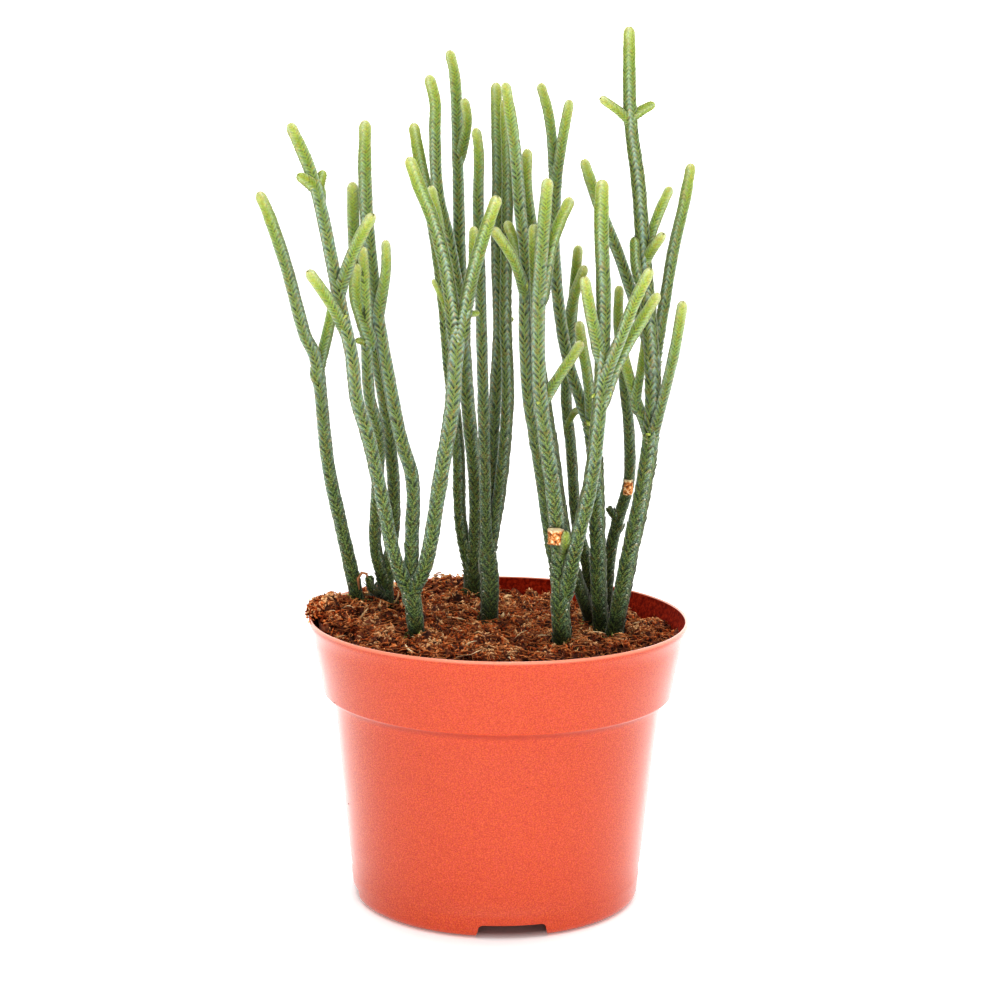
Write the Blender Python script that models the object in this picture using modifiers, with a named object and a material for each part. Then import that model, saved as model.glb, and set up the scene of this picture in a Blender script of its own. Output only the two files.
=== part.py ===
"""Potted crassula: eleven rooted plants with their side shoots, coir soil and a nursery pot.

Metres, +Z up. The pot stands on z = 0, and -Y is the front. The tables below are in
millimetres from the foot of the pot's axis. The stems lean out further on the left than the
pot does on the right, so the pot's axis stands POT_AXIS_X to the right of the origin, which
is the bottom centre of the whole plant's box.
"""

import math

import bmesh
import bpy
from mathutils import Vector

MM = 0.001
CLEARANCE = 0.3
POT_AXIS_X = 8.1

# Pot: a thin moulded shell with a stepped collar, a raised floor and a notched foot.
POT_HEIGHT = 90.3
RIM_RADIUS = 60.0
COLLAR_TOP_RADIUS = 58.4
COLLAR_FOOT_RADIUS = 55.4
COLLAR_FOOT_Z = 66.5
COLLAR_STEP = 3.6
BODY_FOOT_RADIUS = 45.5
FOOT_ROUNDING = 2.6
WALL = 1.1
FLOOR_Z = 6.5
FOOT_WIDTH = 4.2
POT_SEGMENTS = 56

NOTCH_WIDTH = 21.0
NOTCH_HEIGHT = 3.9
NOTCH_FIRST_ANGLE = 7.0
NOTCHES = 4
DRAIN_RADIUS = 4.0
DRAIN_CIRCLE = 30.0

# Soil: a plug that fills the pot, with a level, mounds and hollows on its top.
SOIL_LEVEL = 86.2
SOIL_RINGS = (49.5, 43.0, 36.0, 28.5, 21.0, 13.5, 6.5)
SOIL_SEGMENTS = 40
LUMP_HEIGHT = 0.8
# x, y, spread and height of each mound, or of a hollow where the height is negative.
SOIL_MOUNDS = (
    (-56.0, 2.0, 15.0, 6.4),
    (-42.0, 28.0, 17.0, 4.0),
    (-16.0, 48.0, 13.0, 4.0),
    (-27.0, -22.0, 16.0, 2.0),
    (-4.0, 8.0, 12.0, 1.2),
    (22.0, 44.0, 22.0, -2.6),
    (46.0, 8.0, 17.0, -2.4),
    (30.0, -36.0, 16.0, 0.2),
    (45.0, 32.0, 9.0, -2.8),
    (31.0, -3.0, 9.0, -1.8),
)

ROOT_DEPTH = 11.0
RING_SPACING = 9.0
THICK_STEM = 1.9

# Each plant's shoots, trunk first. A shoot is its radius at the foot and near the tip, then
# the points that it passes through: x, y and z. A side shoot's first point is inside the
# shoot that bears it, and a trunk's first point is where it leaves the soil.
PLANTS = {
    "stem_far_left": (
        (2.5, 1.75, ((-46, 17, 91), (-47, 17, 97), (-51, 15, 116), (-55, 12, 137), (-58, 8, 168),
                     (-62, 6, 179), (-67, 3, 199), (-72, 0, 215), (-75, -1, 222))),
        (1.9, 1.6, ((-58, 8, 166), (-56, 12, 174), (-54, 16, 184), (-53, 17, 190))),
    ),
    "stem_front_left": (
        (2.8, 2.6, ((-25, -20, 87), (-26, -20, 96), (-27, -19, 105))),
        (2.4, 1.8, ((-27, -19, 101), (-32, -21, 113), (-36, -20, 131), (-40, -18, 148),
                    (-44, -17, 161), (-45.5, -17, 174), (-49, -15, 189), (-55, -11, 217), (-59, -8, 230),
                    (-65, -6, 243))),
        (1.6, 1.5, ((-56, -9, 223), (-59, -10, 226), (-62, -11, 228))),
        (1.3, 1.1, ((-56, -9, 224), (-55, -7, 229))),
        (1.9, 1.8, ((-49, -14, 195), (-44, -19, 208), (-39, -23, 217))),
        (1.9, 1.6, ((-48, -16, 183), (-52, -20, 191), (-58, -23, 200))),
        (2.4, 1.9, ((-27, -19, 101), (-27, -16, 116), (-27, -12, 135), (-31, -8, 148),
                    (-35, -4, 166), (-39, 0, 187), (-42, 3, 211), (-43, 5, 228), (-43, 6, 244))),
        (1.8, 1.5, ((-38, -1, 188), (-36, -3, 199), (-36, -4, 208))),
        (2.4, 2.3, ((-27, -19, 101), (-22, -21, 113), (-18, -22, 139), (-15, -20, 158),
                    (-14, -18, 174), (-13, -17, 186))),
        (2.2, 1.7, ((-14, -17, 181), (-17, -21, 201), (-21, -25, 216), (-25, -28, 226), (-28, -29, 234))),
        (1.8, 1.5, ((-14, -16, 185), (-18, -13, 205), (-20, -12, 216), (-22, -12, 225))),
        (2.2, 1.7, ((-13, -17, 179), (-10, -20, 196), (-6, -25, 211), (-2, -29, 223))),
        (1.7, 1.5, ((-11, -18, 189), (-9, -15, 201), (-9, -13, 213))),
        (0.9, 0.8, ((-16, -17, 187), (-19, -15, 193), (-21, -14, 197))),
        (1.1, 0.9, ((-14, -17, 185), (-11, -16, 187), (-7.5, -14.5, 187.5))),
    ),
    "stem_left_back": (
        (2.7, 2.4, ((-37, 22, 90), (-37, 22, 100))),
        (2.2, 1.8, ((-37, 22, 94), (-34, 17, 118), (-35, 13, 141), (-38, 11, 162), (-42, 9, 183),
                    (-46, 8, 200), (-47, 8, 225))),
        (2.1, 1.7, ((-37, 22, 94), (-40, 15, 110), (-39, 7, 129), (-38, 0, 147), (-41, -5, 162),
                    (-42, -5, 188), (-43, -6, 206))),
        (1.8, 1.7, ((-41, -5, 178), (-45, -6, 190), (-45, -7, 201))),
        (1.9, 1.6, ((-38, 20, 92), (-41, 16, 95), (-42, 14, 99))),
        (0.9, 0.8, ((-42, -5, 176), (-43, -6.5, 177.5), (-44.5, -8, 178))),
    ),
    "stem_back_centre": (
        (3.0, 2.8, ((-9, 40, 87), (-9, 40, 99))),
        (2.1, 1.7, ((-9, 40, 94), (-13, 40, 113), (-14, 38, 138), (-17, 35, 164), (-19.5, 32, 190),
                    (-23, 30, 214), (-27, 29, 232), (-29, 28, 243))),
        (2.3, 2.2, ((-9, 40, 94), (-8, 38, 121), (-10, 35, 144), (-12, 32, 166), (-13, 30, 187))),
        (2.1, 1.7, ((-13, 30, 182), (-17, 26, 205), (-21, 23, 222), (-22, 22, 240), (-22, 21, 250),
                    (-24, 21, 258))),
        (2.2, 1.7, ((-13, 30, 182), (-14, 32, 203), (-15, 34, 232), (-16, 36, 256), (-18, 36, 266))),
        (1.6, 1.5, ((-14, 34, 234), (-12, 31, 244), (-13, 30, 251))),
    ),
    "stem_centre": (
        (3.0, 2.9, ((-3, 6, 88), (-3, 8, 100), (-4, 10, 112))),
        (2.1, 1.6, ((-4, 9, 105), (-5, 8, 137), (-6, 9, 166), (-7, 11, 192), (-8, 12, 217),
                    (-8, 13, 234), (-9, 13, 242))),
        (2.2, 1.7, ((-4, 9, 105), (-3, 14, 131), (-2, 18, 157), (-1, 20, 179), (-2, 21, 204),
                    (-2, 21, 229), (-3, 22, 256))),
        (2.2, 1.5, ((-4, 10, 105), (0, 11, 129), (2, 11, 158), (1, 11, 183), (1, 10, 205),
                    (1, 9, 227), (0, 9, 251))),
        (1.0, 0.8, ((-1, 20, 178), (1, 22, 181), (3, 24, 182))),
    ),
    "stem_front_right": (
        (3.1, 2.9, ((20, -23, 86), (19, -23, 98), (19, -22, 109))),
        (2.8, 1.8, ((19, -22, 105), (16.5, -21, 131), (12.6, -20, 156), (11, -19, 174), (11, -18, 195),
                    (12, -18, 214), (13, -19, 228))),
        (1.8, 1.6, ((12, -19, 160), (17, -16, 168), (21, -15, 174), (24, -15, 179))),
        (1.8, 1.7, ((12, -18, 194), (15, -15, 210), (20, -12, 222))),
        (2.4, 1.7, ((19, -21, 105), (15.5, -16, 121), (12.2, -12, 141), (8.6, -10, 161), (7, -9, 182),
                    (7, -7, 202), (5, -5, 218), (3, -3, 238), (0, -2, 256))),
        (1.7, 1.6, ((7, -8, 193), (3, -13, 204), (-3, -17, 213))),
        (1.6, 1.5, ((7, -7, 198), (4, -2, 207), (1, 1, 214))),
        (1.8, 1.6, ((7, -8, 193), (9, -2, 209), (7, 2, 224), (7, 4, 236))),
        (2.4, 1.9, ((20, -23, 102), (23, -26, 118), (27, -28, 137), (29, -28, 156), (30, -27, 174),
                    (30, -26, 195), (29, -25, 214), (29, -24, 228))),
        (1.9, 1.7, ((29, -27, 178), (26, -30, 190), (24, -32, 200))),
        (1.9, 1.7, ((30, -27, 168), (35, -31, 182), (39, -35, 194), (43, -38, 203))),
        (1.9, 1.7, ((30, -27, 162), (36, -26, 177), (42, -27, 188), (46, -28, 195))),
        (2.3, 2.2, ((18, -22, 111), (17, -25, 117.5), (16.8, -26, 123))),
        (1.5, 1.5, ((19.5, -23, 116), (20, -26, 119.5), (20, -26.5, 122.5))),
    ),
    "stem_behind_front_right": (
        (2.2, 1.6, ((30, 12, 86), (27, 6, 95), (22, -1, 110), (18.5, -6, 128), (16, -8.5, 145),
                    (13.4, -11.5, 160), (11, -12, 176), (10, -12, 196), (9, -13, 214))),
    ),
    "stem_right_middle": (
        (2.7, 2.2, ((33, 3, 85), (32, 4, 96), (31, 6, 118), (30, 9, 139), (28, 12, 154))),
        (2.0, 1.9, ((29, 11, 148), (25, 14, 158), (21, 17, 170), (18, 19, 186), (16, 20, 205),
                    (16, 20, 218), (16, 20, 232))),
        (1.8, 1.6, ((16, 20, 227), (14, 21, 245), (11, 22, 256))),
        (1.8, 1.6, ((16, 20, 224), (18, 17, 239), (20, 15, 251))),
        (1.8, 1.6, ((29, 11, 149), (27, 8, 166), (25, 6, 176), (24, 5, 183))),
    ),
    "stem_right_rear": (
        (2.0, 1.6, ((30, 36, 85), (29, 35, 100), (25, 33, 117), (23, 31, 139), (21, 30, 157),
                    (22, 29, 175), (23, 29, 191), (24, 29, 205))),
        (1.7, 1.6, ((21, 29, 177), (23, 26, 190), (26, 23, 199))),
        (1.1, 0.9, ((21.5, 30, 147), (24, 27, 152), (26.5, 22, 153))),
    ),
    "stem_right_tall": (
        (3.0, 1.7, ((36.5, -4, 85), (38, -3, 94), (41.3, -2, 113), (44.7, -1, 131), (47, 0, 150),
                    (47, 0, 168), (45, -1, 188), (43, -2, 206), (41, -3, 226), (38, -3, 247), (37, -4, 273))),
        (1.4, 1.3, ((38, -3, 245), (35, -4, 248), (29, -6, 252))),
        (1.4, 1.3, ((38.3, -3, 246), (41, -2, 248.3), (45, -1, 250.5))),
        (1.6, 1.5, ((43, -2, 203), (47, 0, 216), (51, 3, 225))),
        (1.5, 1.4, ((44.5, -3, 205), (46.5, -6, 208.5), (48.5, -8, 211.5))),
        (1.6, 1.5, ((45, -1, 191), (41, -4, 200), (40, -5, 210))),
        (1.9, 1.7, ((47, 0, 172), (42, 4, 187), (36, 7, 204), (30, 9, 218), (24.6, 10, 233))),
        (1.9, 1.6, ((47, 0, 170), (50, 5, 187), (53, 8, 206), (56, 10, 220), (58, 11, 232))),
        (1.8, 1.6, ((47, 0, 147), (50, -3, 160), (53, -7, 176), (55, -9, 191))),
        (1.9, 1.6, ((47, 0, 147), (43, 4, 157), (40, 7, 166), (38, 9, 174))),
        (1.5, 1.4, ((42, 4, 158), (44, 7, 170), (45, 8, 179))),
    ),
    "stem_right_cut": (
        (2.3, 1.5, ((35, 25, 85), (36, 24, 105), (38.5, 22, 118), (41.5, 20, 131), (41, 19, 148),
                    (39, 19, 164), (37, 20, 181), (37, 21, 193))),
        (1.5, 1.5, ((40.5, 20.5, 125), (41.2, 18.5, 128), (41.3, 17, 131.5))),
        (1.5, 1.2, ((38.5, 22, 115), (37, 21, 119), (35, 20, 121.5))),
    ),
}

CONE_STEPS = (0.0, 0.15, 0.45, 1.0)


def clear_scene():
    for thing in list(bpy.data.objects):
        bpy.data.objects.remove(thing, do_unlink=True)


def new_collection(name):
    collection = bpy.data.collections.new(name)
    bpy.context.scene.collection.children.link(collection)
    return collection


def make_material(name, colour, roughness):
    material = bpy.data.materials.new(name)
    material.use_nodes = True
    shader = material.node_tree.nodes["Principled BSDF"]
    shader.inputs["Base Color"].default_value = (*colour, 1.0)
    shader.inputs["Roughness"].default_value = roughness
    shader.inputs["Metallic"].default_value = 0.0
    return material


def place(name, mesh, collection, material=None):
    piece = bpy.data.objects.new(name, mesh)
    piece.location = (POT_AXIS_X * MM, 0, 0)
    collection.objects.link(piece)
    if material:
        mesh.materials.append(material)
    return piece


def as_helper(piece):
    piece.hide_render = True
    piece.display_type = "WIRE"
    return piece


def use_boolean(piece, other, operation):
    modifier = piece.modifiers.new(operation.lower() + "_" + other.name, "BOOLEAN")
    modifier.operation = operation
    modifier.object = other


def turned_mesh(name, profile, segments):
    """Turns a profile of (radius, height) points about Z. It starts and ends on the axis."""
    outline = bpy.data.meshes.new(name + "_profile")
    points = [(radius * MM, 0, height * MM) for radius, height in profile]
    outline.from_pydata(points, [(i, i + 1) for i in range(len(points) - 1)], [])
    helper = bpy.data.objects.new(name + "_profile", outline)
    bpy.context.scene.collection.objects.link(helper)
    screw = helper.modifiers.new("turn", "SCREW")
    screw.steps = segments
    screw.render_steps = segments
    screw.use_merge_vertices = True
    screw.merge_threshold = 0.00001
    graph = bpy.context.evaluated_depsgraph_get()
    mesh = bpy.data.meshes.new_from_object(helper.evaluated_get(graph))
    mesh.name = name
    bpy.data.objects.remove(helper, do_unlink=True)
    return mesh


def arc(centre_radius, centre_z, radius, first, last, steps):
    """Points of a round edge, by angle in degrees from +radius towards +Z."""
    angles = [math.radians(first + (last - first) * i / steps) for i in range(steps + 1)]
    return [(centre_radius + radius * math.cos(a), centre_z + radius * math.sin(a)) for a in angles]


def body_radius(z):
    """The outside radius of the tapered body below the collar."""
    top_radius = COLLAR_FOOT_RADIUS - COLLAR_STEP
    return BODY_FOOT_RADIUS + (top_radius - BODY_FOOT_RADIUS) * z / COLLAR_FOOT_Z


def pot_profile():
    """From the middle of the floor up the inside, over the rim, and down to the foot."""
    inner_corner = body_radius(FLOOR_Z) - WALL
    lip = WALL / 2
    lip_centre = RIM_RADIUS - lip
    inside = [
        (0, FLOOR_Z + WALL),
        (inner_corner - 1.5, FLOOR_Z + WALL),
        (inner_corner, FLOOR_Z + WALL + 1.5),
        (body_radius(COLLAR_FOOT_Z) - WALL, COLLAR_FOOT_Z + WALL),
        (COLLAR_FOOT_RADIUS - WALL, COLLAR_FOOT_Z + WALL + 0.4),
        (COLLAR_TOP_RADIUS - WALL, POT_HEIGHT - 5.5),
        (lip_centre - lip - 0.5, POT_HEIGHT - 2.2),
    ]
    rim = arc(lip_centre, POT_HEIGHT - lip, lip, 180, 0, 6)
    outside = [
        (RIM_RADIUS - 0.4, POT_HEIGHT - 2.2),
        (COLLAR_TOP_RADIUS, POT_HEIGHT - 5.5),
        (COLLAR_FOOT_RADIUS, COLLAR_FOOT_Z + 0.8),
        (COLLAR_FOOT_RADIUS - 0.8, COLLAR_FOOT_Z),
        (body_radius(COLLAR_FOOT_Z) + 0.6, COLLAR_FOOT_Z - 0.2),
        (body_radius(COLLAR_FOOT_Z - 1.0), COLLAR_FOOT_Z - 1.0),
        (body_radius(FOOT_ROUNDING), FOOT_ROUNDING),
    ]
    foot_centre = body_radius(FOOT_ROUNDING) - FOOT_ROUNDING
    foot = arc(foot_centre, FOOT_ROUNDING, FOOT_ROUNDING, -22, -90, 3)
    underside = [
        (BODY_FOOT_RADIUS - FOOT_WIDTH, 0),
        (BODY_FOOT_RADIUS - FOOT_WIDTH - 0.6, FLOOR_Z),
        (0, FLOOR_Z),
    ]
    return inside + rim + outside + foot + underside


def box_cutter(name, size, centre, angle, collection):
    cube = bmesh.new()
    bmesh.ops.create_cube(cube, size=1.0)
    bmesh.ops.scale(cube, vec=Vector(size) * MM, verts=cube.verts)
    mesh = bpy.data.meshes.new(name)
    cube.to_mesh(mesh)
    cube.free()
    cutter = as_helper(place(name, mesh, collection))
    cutter.location = (POT_AXIS_X * MM + centre[0] * MM, centre[1] * MM, centre[2] * MM)
    cutter.rotation_euler = (0, 0, angle)
    return cutter


def round_cutter(name, radius, bottom, top, centre, collection):
    cylinder = bmesh.new()
    bmesh.ops.create_cone(
        cylinder,
        cap_ends=True,
        segments=16,
        radius1=radius * MM,
        radius2=radius * MM,
        depth=(top - bottom) * MM,
    )
    mesh = bpy.data.meshes.new(name)
    cylinder.to_mesh(mesh)
    cylinder.free()
    cutter = as_helper(place(name, mesh, collection))
    height = (top + bottom) / 2
    cutter.location = (POT_AXIS_X * MM + centre[0] * MM, centre[1] * MM, height * MM)
    return cutter


def make_pot(parts, cutters):
    """The shell, with a notch through the foot and a drain hole on each side."""
    pot = place("pot", turned_mesh("pot", pot_profile(), POT_SEGMENTS), parts)
    pot.data.materials.append(make_material("pot_plastic", (0.86, 0.12, 0.05), 0.4))
    for i in range(NOTCHES):
        angle = math.radians(NOTCH_FIRST_ANGLE + 360 * i / NOTCHES)
        outward = Vector((math.sin(angle), -math.cos(angle)))
        foot_middle = outward * (BODY_FOOT_RADIUS - FOOT_WIDTH / 2)
        size = (NOTCH_WIDTH, FOOT_WIDTH * 3, NOTCH_HEIGHT * 2)
        notch = box_cutter(f"foot_notch_{i + 1}", size, (*foot_middle, 0), angle, cutters)
        use_boolean(pot, notch, "DIFFERENCE")
        hole_at = outward * DRAIN_CIRCLE
        low, high = FLOOR_Z - 2, FLOOR_Z + WALL + 2
        drain = round_cutter(f"drain_hole_{i + 1}", DRAIN_RADIUS, low, high, hole_at, cutters)
        use_boolean(pot, drain, "DIFFERENCE")
    return pot


def soil_height(x, y):
    """The soil's surface: its level, the mounds and hollows, and small lumps."""
    height = SOIL_LEVEL
    for mound_x, mound_y, spread, rise in SOIL_MOUNDS:
        distance = math.hypot(x - mound_x, y - mound_y)
        height += rise * math.exp(-((distance / spread) ** 2))
    height += LUMP_HEIGHT * math.sin(0.43 * x + 1.1) * math.cos(0.37 * y - 0.4)
    height += 0.5 * LUMP_HEIGHT * math.sin(0.91 * y + 0.31 * x) * math.cos(0.83 * x - 0.2)
    return height


def soil_profile():
    """Down the middle of the top, out to the wall, and down the wall to the floor."""
    gap = WALL + CLEARANCE
    floor = FLOOR_Z + WALL + CLEARANCE
    corner = body_radius(floor) - gap
    top = [(0, SOIL_LEVEL)]
    top += [(radius, SOIL_LEVEL) for radius in reversed(SOIL_RINGS)]
    side = [
        (COLLAR_TOP_RADIUS - gap - 1.3, SOIL_LEVEL),
        (COLLAR_TOP_RADIUS - gap - 0.9, SOIL_LEVEL - 6),
        (COLLAR_FOOT_RADIUS - gap, COLLAR_FOOT_Z + WALL + 1.2),
        (body_radius(COLLAR_FOOT_Z) - gap, COLLAR_FOOT_Z + WALL + 0.6),
        (corner, floor + 1.7),
        (corner - 1.9, floor),
        (0, floor),
    ]
    return top + side


def make_soil(parts, cutters):
    mesh = turned_mesh("soil", soil_profile(), SOIL_SEGMENTS)
    for vertex in mesh.vertices:
        if vertex.co.z > (SOIL_LEVEL - 1) * MM:
            vertex.co.z = soil_height(vertex.co.x / MM, vertex.co.y / MM) * MM
    soil = place("soil", mesh, parts, make_material("coir_soil", (0.16, 0.055, 0.025), 0.95))
    for name, shoots in PLANTS.items():
        foot, _, points = shoots[0]
        below, above = root_end(points, CLEARANCE), Vector(points[0])
        out_of_soil = above + (above - below).normalized() * ROOT_DEPTH
        samples = [(below, foot + CLEARANCE), (above, foot + CLEARANCE), (out_of_soil, foot + CLEARANCE)]
        hole = as_helper(place(name + "_hole", tube_mesh(name + "_hole", samples, foot), cutters))
        use_boolean(soil, hole, "DIFFERENCE")
    return soil


def root_end(points, extra=0.0):
    """The buried end of a trunk, straight below where it leaves the soil."""
    first, second = Vector(points[0]), Vector(points[1])
    return first - (second - first).normalized() * (ROOT_DEPTH + extra)


def smooth_route(points):
    """Samples of a Catmull-Rom curve through the points, about RING_SPACING apart."""
    knots = [Vector(point) for point in points]
    before = knots[0] * 2 - knots[1]
    after = knots[-1] * 2 - knots[-2]
    padded = [before, *knots, after]
    route = []
    for i in range(len(knots) - 1):
        p0, p1, p2, p3 = padded[i : i + 4]
        steps = max(1, round((p2 - p1).length / RING_SPACING))
        for step in range(steps):
            t = step / steps
            blend = (p2 - p0) * t + (p0 * 2 - p1 * 5 + p2 * 4 - p3) * t**2
            blend += (p1 * 3 - p0 - p2 * 3 + p3) * t**3
            route.append(p1 + blend / 2)
    route.append(knots[-1])
    return route


def shoot_samples(foot_radius, tip_radius, points, is_trunk):
    """Places and radii along one shoot, from its foot to its rounded tip."""
    route = smooth_route(points)
    if is_trunk:
        route.insert(0, root_end(points))
    lengths = [0.0]
    for a, b in zip(route, route[1:]):
        lengths.append(lengths[-1] + (b - a).length)
    total = lengths[-1]
    cone = tip_radius * 1.6
    samples = []
    for place_on_route, length in zip(route, lengths):
        if length < total - cone * 1.3:
            radius = foot_radius + (tip_radius - foot_radius) * length / total
            samples.append((place_on_route, radius))
    direction = (route[-1] - route[-2]).normalized()
    for step in reversed(CONE_STEPS):
        radius = tip_radius * math.sqrt(max(0.0, 1 - (1 - step) ** 2))
        samples.append((route[-1] - direction * cone * step, max(radius, tip_radius * 0.25)))
    return samples


def tube_mesh(name, samples, foot_radius):
    """A closed tube through the samples, made as a bevelled curve and then as a mesh."""
    curve = bpy.data.curves.new(name, "CURVE")
    curve.dimensions = "3D"
    curve.bevel_depth = MM
    curve.bevel_resolution = 2 if foot_radius > THICK_STEM else 1
    curve.use_fill_caps = True
    spline = curve.splines.new("POLY")
    spline.points.add(len(samples) - 1)
    for point, (position, radius) in zip(spline.points, samples):
        point.co = (*(position * MM), 1)
        point.radius = radius
    helper = bpy.data.objects.new(name + "_curve", curve)
    bpy.context.scene.collection.objects.link(helper)
    graph = bpy.context.evaluated_depsgraph_get()
    mesh = bpy.data.meshes.new_from_object(helper.evaluated_get(graph))
    mesh.name = name
    bpy.data.objects.remove(helper, do_unlink=True)
    shape = bmesh.new()
    shape.from_mesh(mesh)
    bmesh.ops.remove_doubles(shape, verts=shape.verts, dist=0.000001)
    shape.to_mesh(mesh)
    shape.free()
    return mesh


def make_plant(name, shoots, material, parts, cutters):
    """One plant: its trunk, with each side shoot grown into it."""
    foot, tip, points = shoots[0]
    trunk_samples = shoot_samples(foot, tip, points, is_trunk=True)
    plant = place(name, tube_mesh(name, trunk_samples, foot), parts, material)
    for number, (foot, tip, points) in enumerate(shoots[1:], start=1):
        shoot_name = f"{name}_shoot_{number}"
        samples = shoot_samples(foot, tip, points, is_trunk=False)
        shoot = as_helper(place(shoot_name, tube_mesh(shoot_name, samples, foot), cutters))
        use_boolean(plant, shoot, "UNION")
    return plant


def main():
    clear_scene()
    parts = new_collection("potted_crassula")
    cutters = new_collection("cutters")
    make_pot(parts, cutters)
    make_soil(parts, cutters)
    leaf_green = make_material("crassula_green", (0.18, 0.32, 0.11), 0.55)
    for name, shoots in PLANTS.items():
        make_plant(name, shoots, leaf_green, parts, cutters)
    for piece in parts.objects:
        piece.data.shade_smooth()
        piece.data.set_sharp_from_angle(angle=math.radians(40))


main()
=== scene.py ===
"""The dressed potted crassula: every leaf, loose coir soil and the moulded pot.

Lengths in the tables are millimetres from the foot of the pot's axis, as in the CAD model;
MM turns them into metres. A shoot is clad in four ranks of clasping leaves, in pairs that
cross each other, so that the edges of two neighbouring ranks draw a plait between them.
"""

import math

import bmesh
import bpy
import numpy as np
from mathutils import Matrix, Vector, noise


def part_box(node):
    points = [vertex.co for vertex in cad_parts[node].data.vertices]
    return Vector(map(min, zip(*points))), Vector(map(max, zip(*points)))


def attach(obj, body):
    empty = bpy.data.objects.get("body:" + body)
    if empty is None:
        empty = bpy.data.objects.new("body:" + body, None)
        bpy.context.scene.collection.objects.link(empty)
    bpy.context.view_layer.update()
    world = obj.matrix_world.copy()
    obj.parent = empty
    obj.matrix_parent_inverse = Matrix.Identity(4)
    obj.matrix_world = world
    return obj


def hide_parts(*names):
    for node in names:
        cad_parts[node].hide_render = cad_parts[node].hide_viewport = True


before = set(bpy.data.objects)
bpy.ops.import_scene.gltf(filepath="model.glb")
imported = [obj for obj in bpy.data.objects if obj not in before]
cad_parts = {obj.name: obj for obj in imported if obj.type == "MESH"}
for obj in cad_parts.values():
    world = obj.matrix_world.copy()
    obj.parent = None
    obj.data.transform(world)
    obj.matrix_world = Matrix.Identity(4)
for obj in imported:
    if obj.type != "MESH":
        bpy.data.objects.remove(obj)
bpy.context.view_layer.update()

MM = 0.001
BODY = "root"
BLACK, WHITE = (0.0, 0.0, 0.0), (1.0, 1.0, 1.0)
random = np.random.default_rng(41)

pot_low, pot_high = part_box("pot")
POT_AXIS = np.array([(pot_low.x + pot_high.x) / 2, (pot_low.y + pot_high.y) / 2, 0.0])
RIM_RADIUS = (pot_high.x - pot_low.x) / 2 / MM
POT_HEIGHT = pot_high.z / MM

# The pot's section, as in the CAD model.
COLLAR_TOP_RADIUS = RIM_RADIUS - 1.6
COLLAR_FOOT_RADIUS = RIM_RADIUS - 4.6
COLLAR_FOOT_Z = 66.5
COLLAR_STEP = 3.6
BODY_FOOT_RADIUS = 45.5
FOOT_ROUNDING = 2.6
FOOT_WIDTH = 4.2
WALL = 1.1
FLOOR_Z = 6.5
RING_Z = 8.6
POT_SEGMENTS = 192
NOTCH_WIDTH, NOTCH_HEIGHT, NOTCH_SPLAY, NOTCH_ROUNDING = 21.0, 4.2, 1.16, 1.6
NOTCH_FIRST_ANGLE, NOTCHES = 7.0, 4
DRAIN_RADIUS, DRAIN_CIRCLE, DRAIN_DEPTH = 4.0, 30.0, 6.0

# The soil's surface, as in the CAD model: x, y, spread and height of each mound or hollow.
SOIL_LEVEL = 86.2
LUMP_HEIGHT = 0.8
SOIL_MOUNDS = (
    (-56.0, 2.0, 15.0, 6.4),
    (-42.0, 28.0, 17.0, 4.0),
    (-16.0, 48.0, 13.0, 4.0),
    (-27.0, -22.0, 16.0, 2.0),
    (-4.0, 8.0, 12.0, 1.2),
    (22.0, 44.0, 22.0, -2.6),
    (46.0, 8.0, 17.0, -2.4),
    (30.0, -36.0, 16.0, 0.2),
    (45.0, 32.0, 9.0, -2.8),
    (31.0, -3.0, 9.0, -1.8),
)

# What scene.py adds to it: clods and crumbs (how close together, and how high), and a gap
# along the front wall (its depth, the radius where it starts, its slope and its direction).
CLODS, CRUMBS = (0.14, 2.5), (0.42, 1.4)
GAP_DEPTH, GAP_START, GAP_WIDTH, GAP_ANGLE = 3.4, 40.0, 8.0, math.radians(-76)
BED_SEGMENTS, BED_RINGS = 220, 84
CHIPS, FIBRES, LOOSE_STRAWS, SPILL, SHED_LEAVES = 15500, 4300, 26, 1300, 70

# The coir spilled on the rim: its heap's place and spread round the pot, and its section.
SPILL_ANGLE, SPILL_SCATTER, SPILL_SPREAD = math.pi - 0.13, 0.10, 0.2
SPILL_INNER, SPILL_MIDDLE, SPILL_REACH, SPILL_HEIGHT = 54.0, 57.5, 5.5, 3.4

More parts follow.
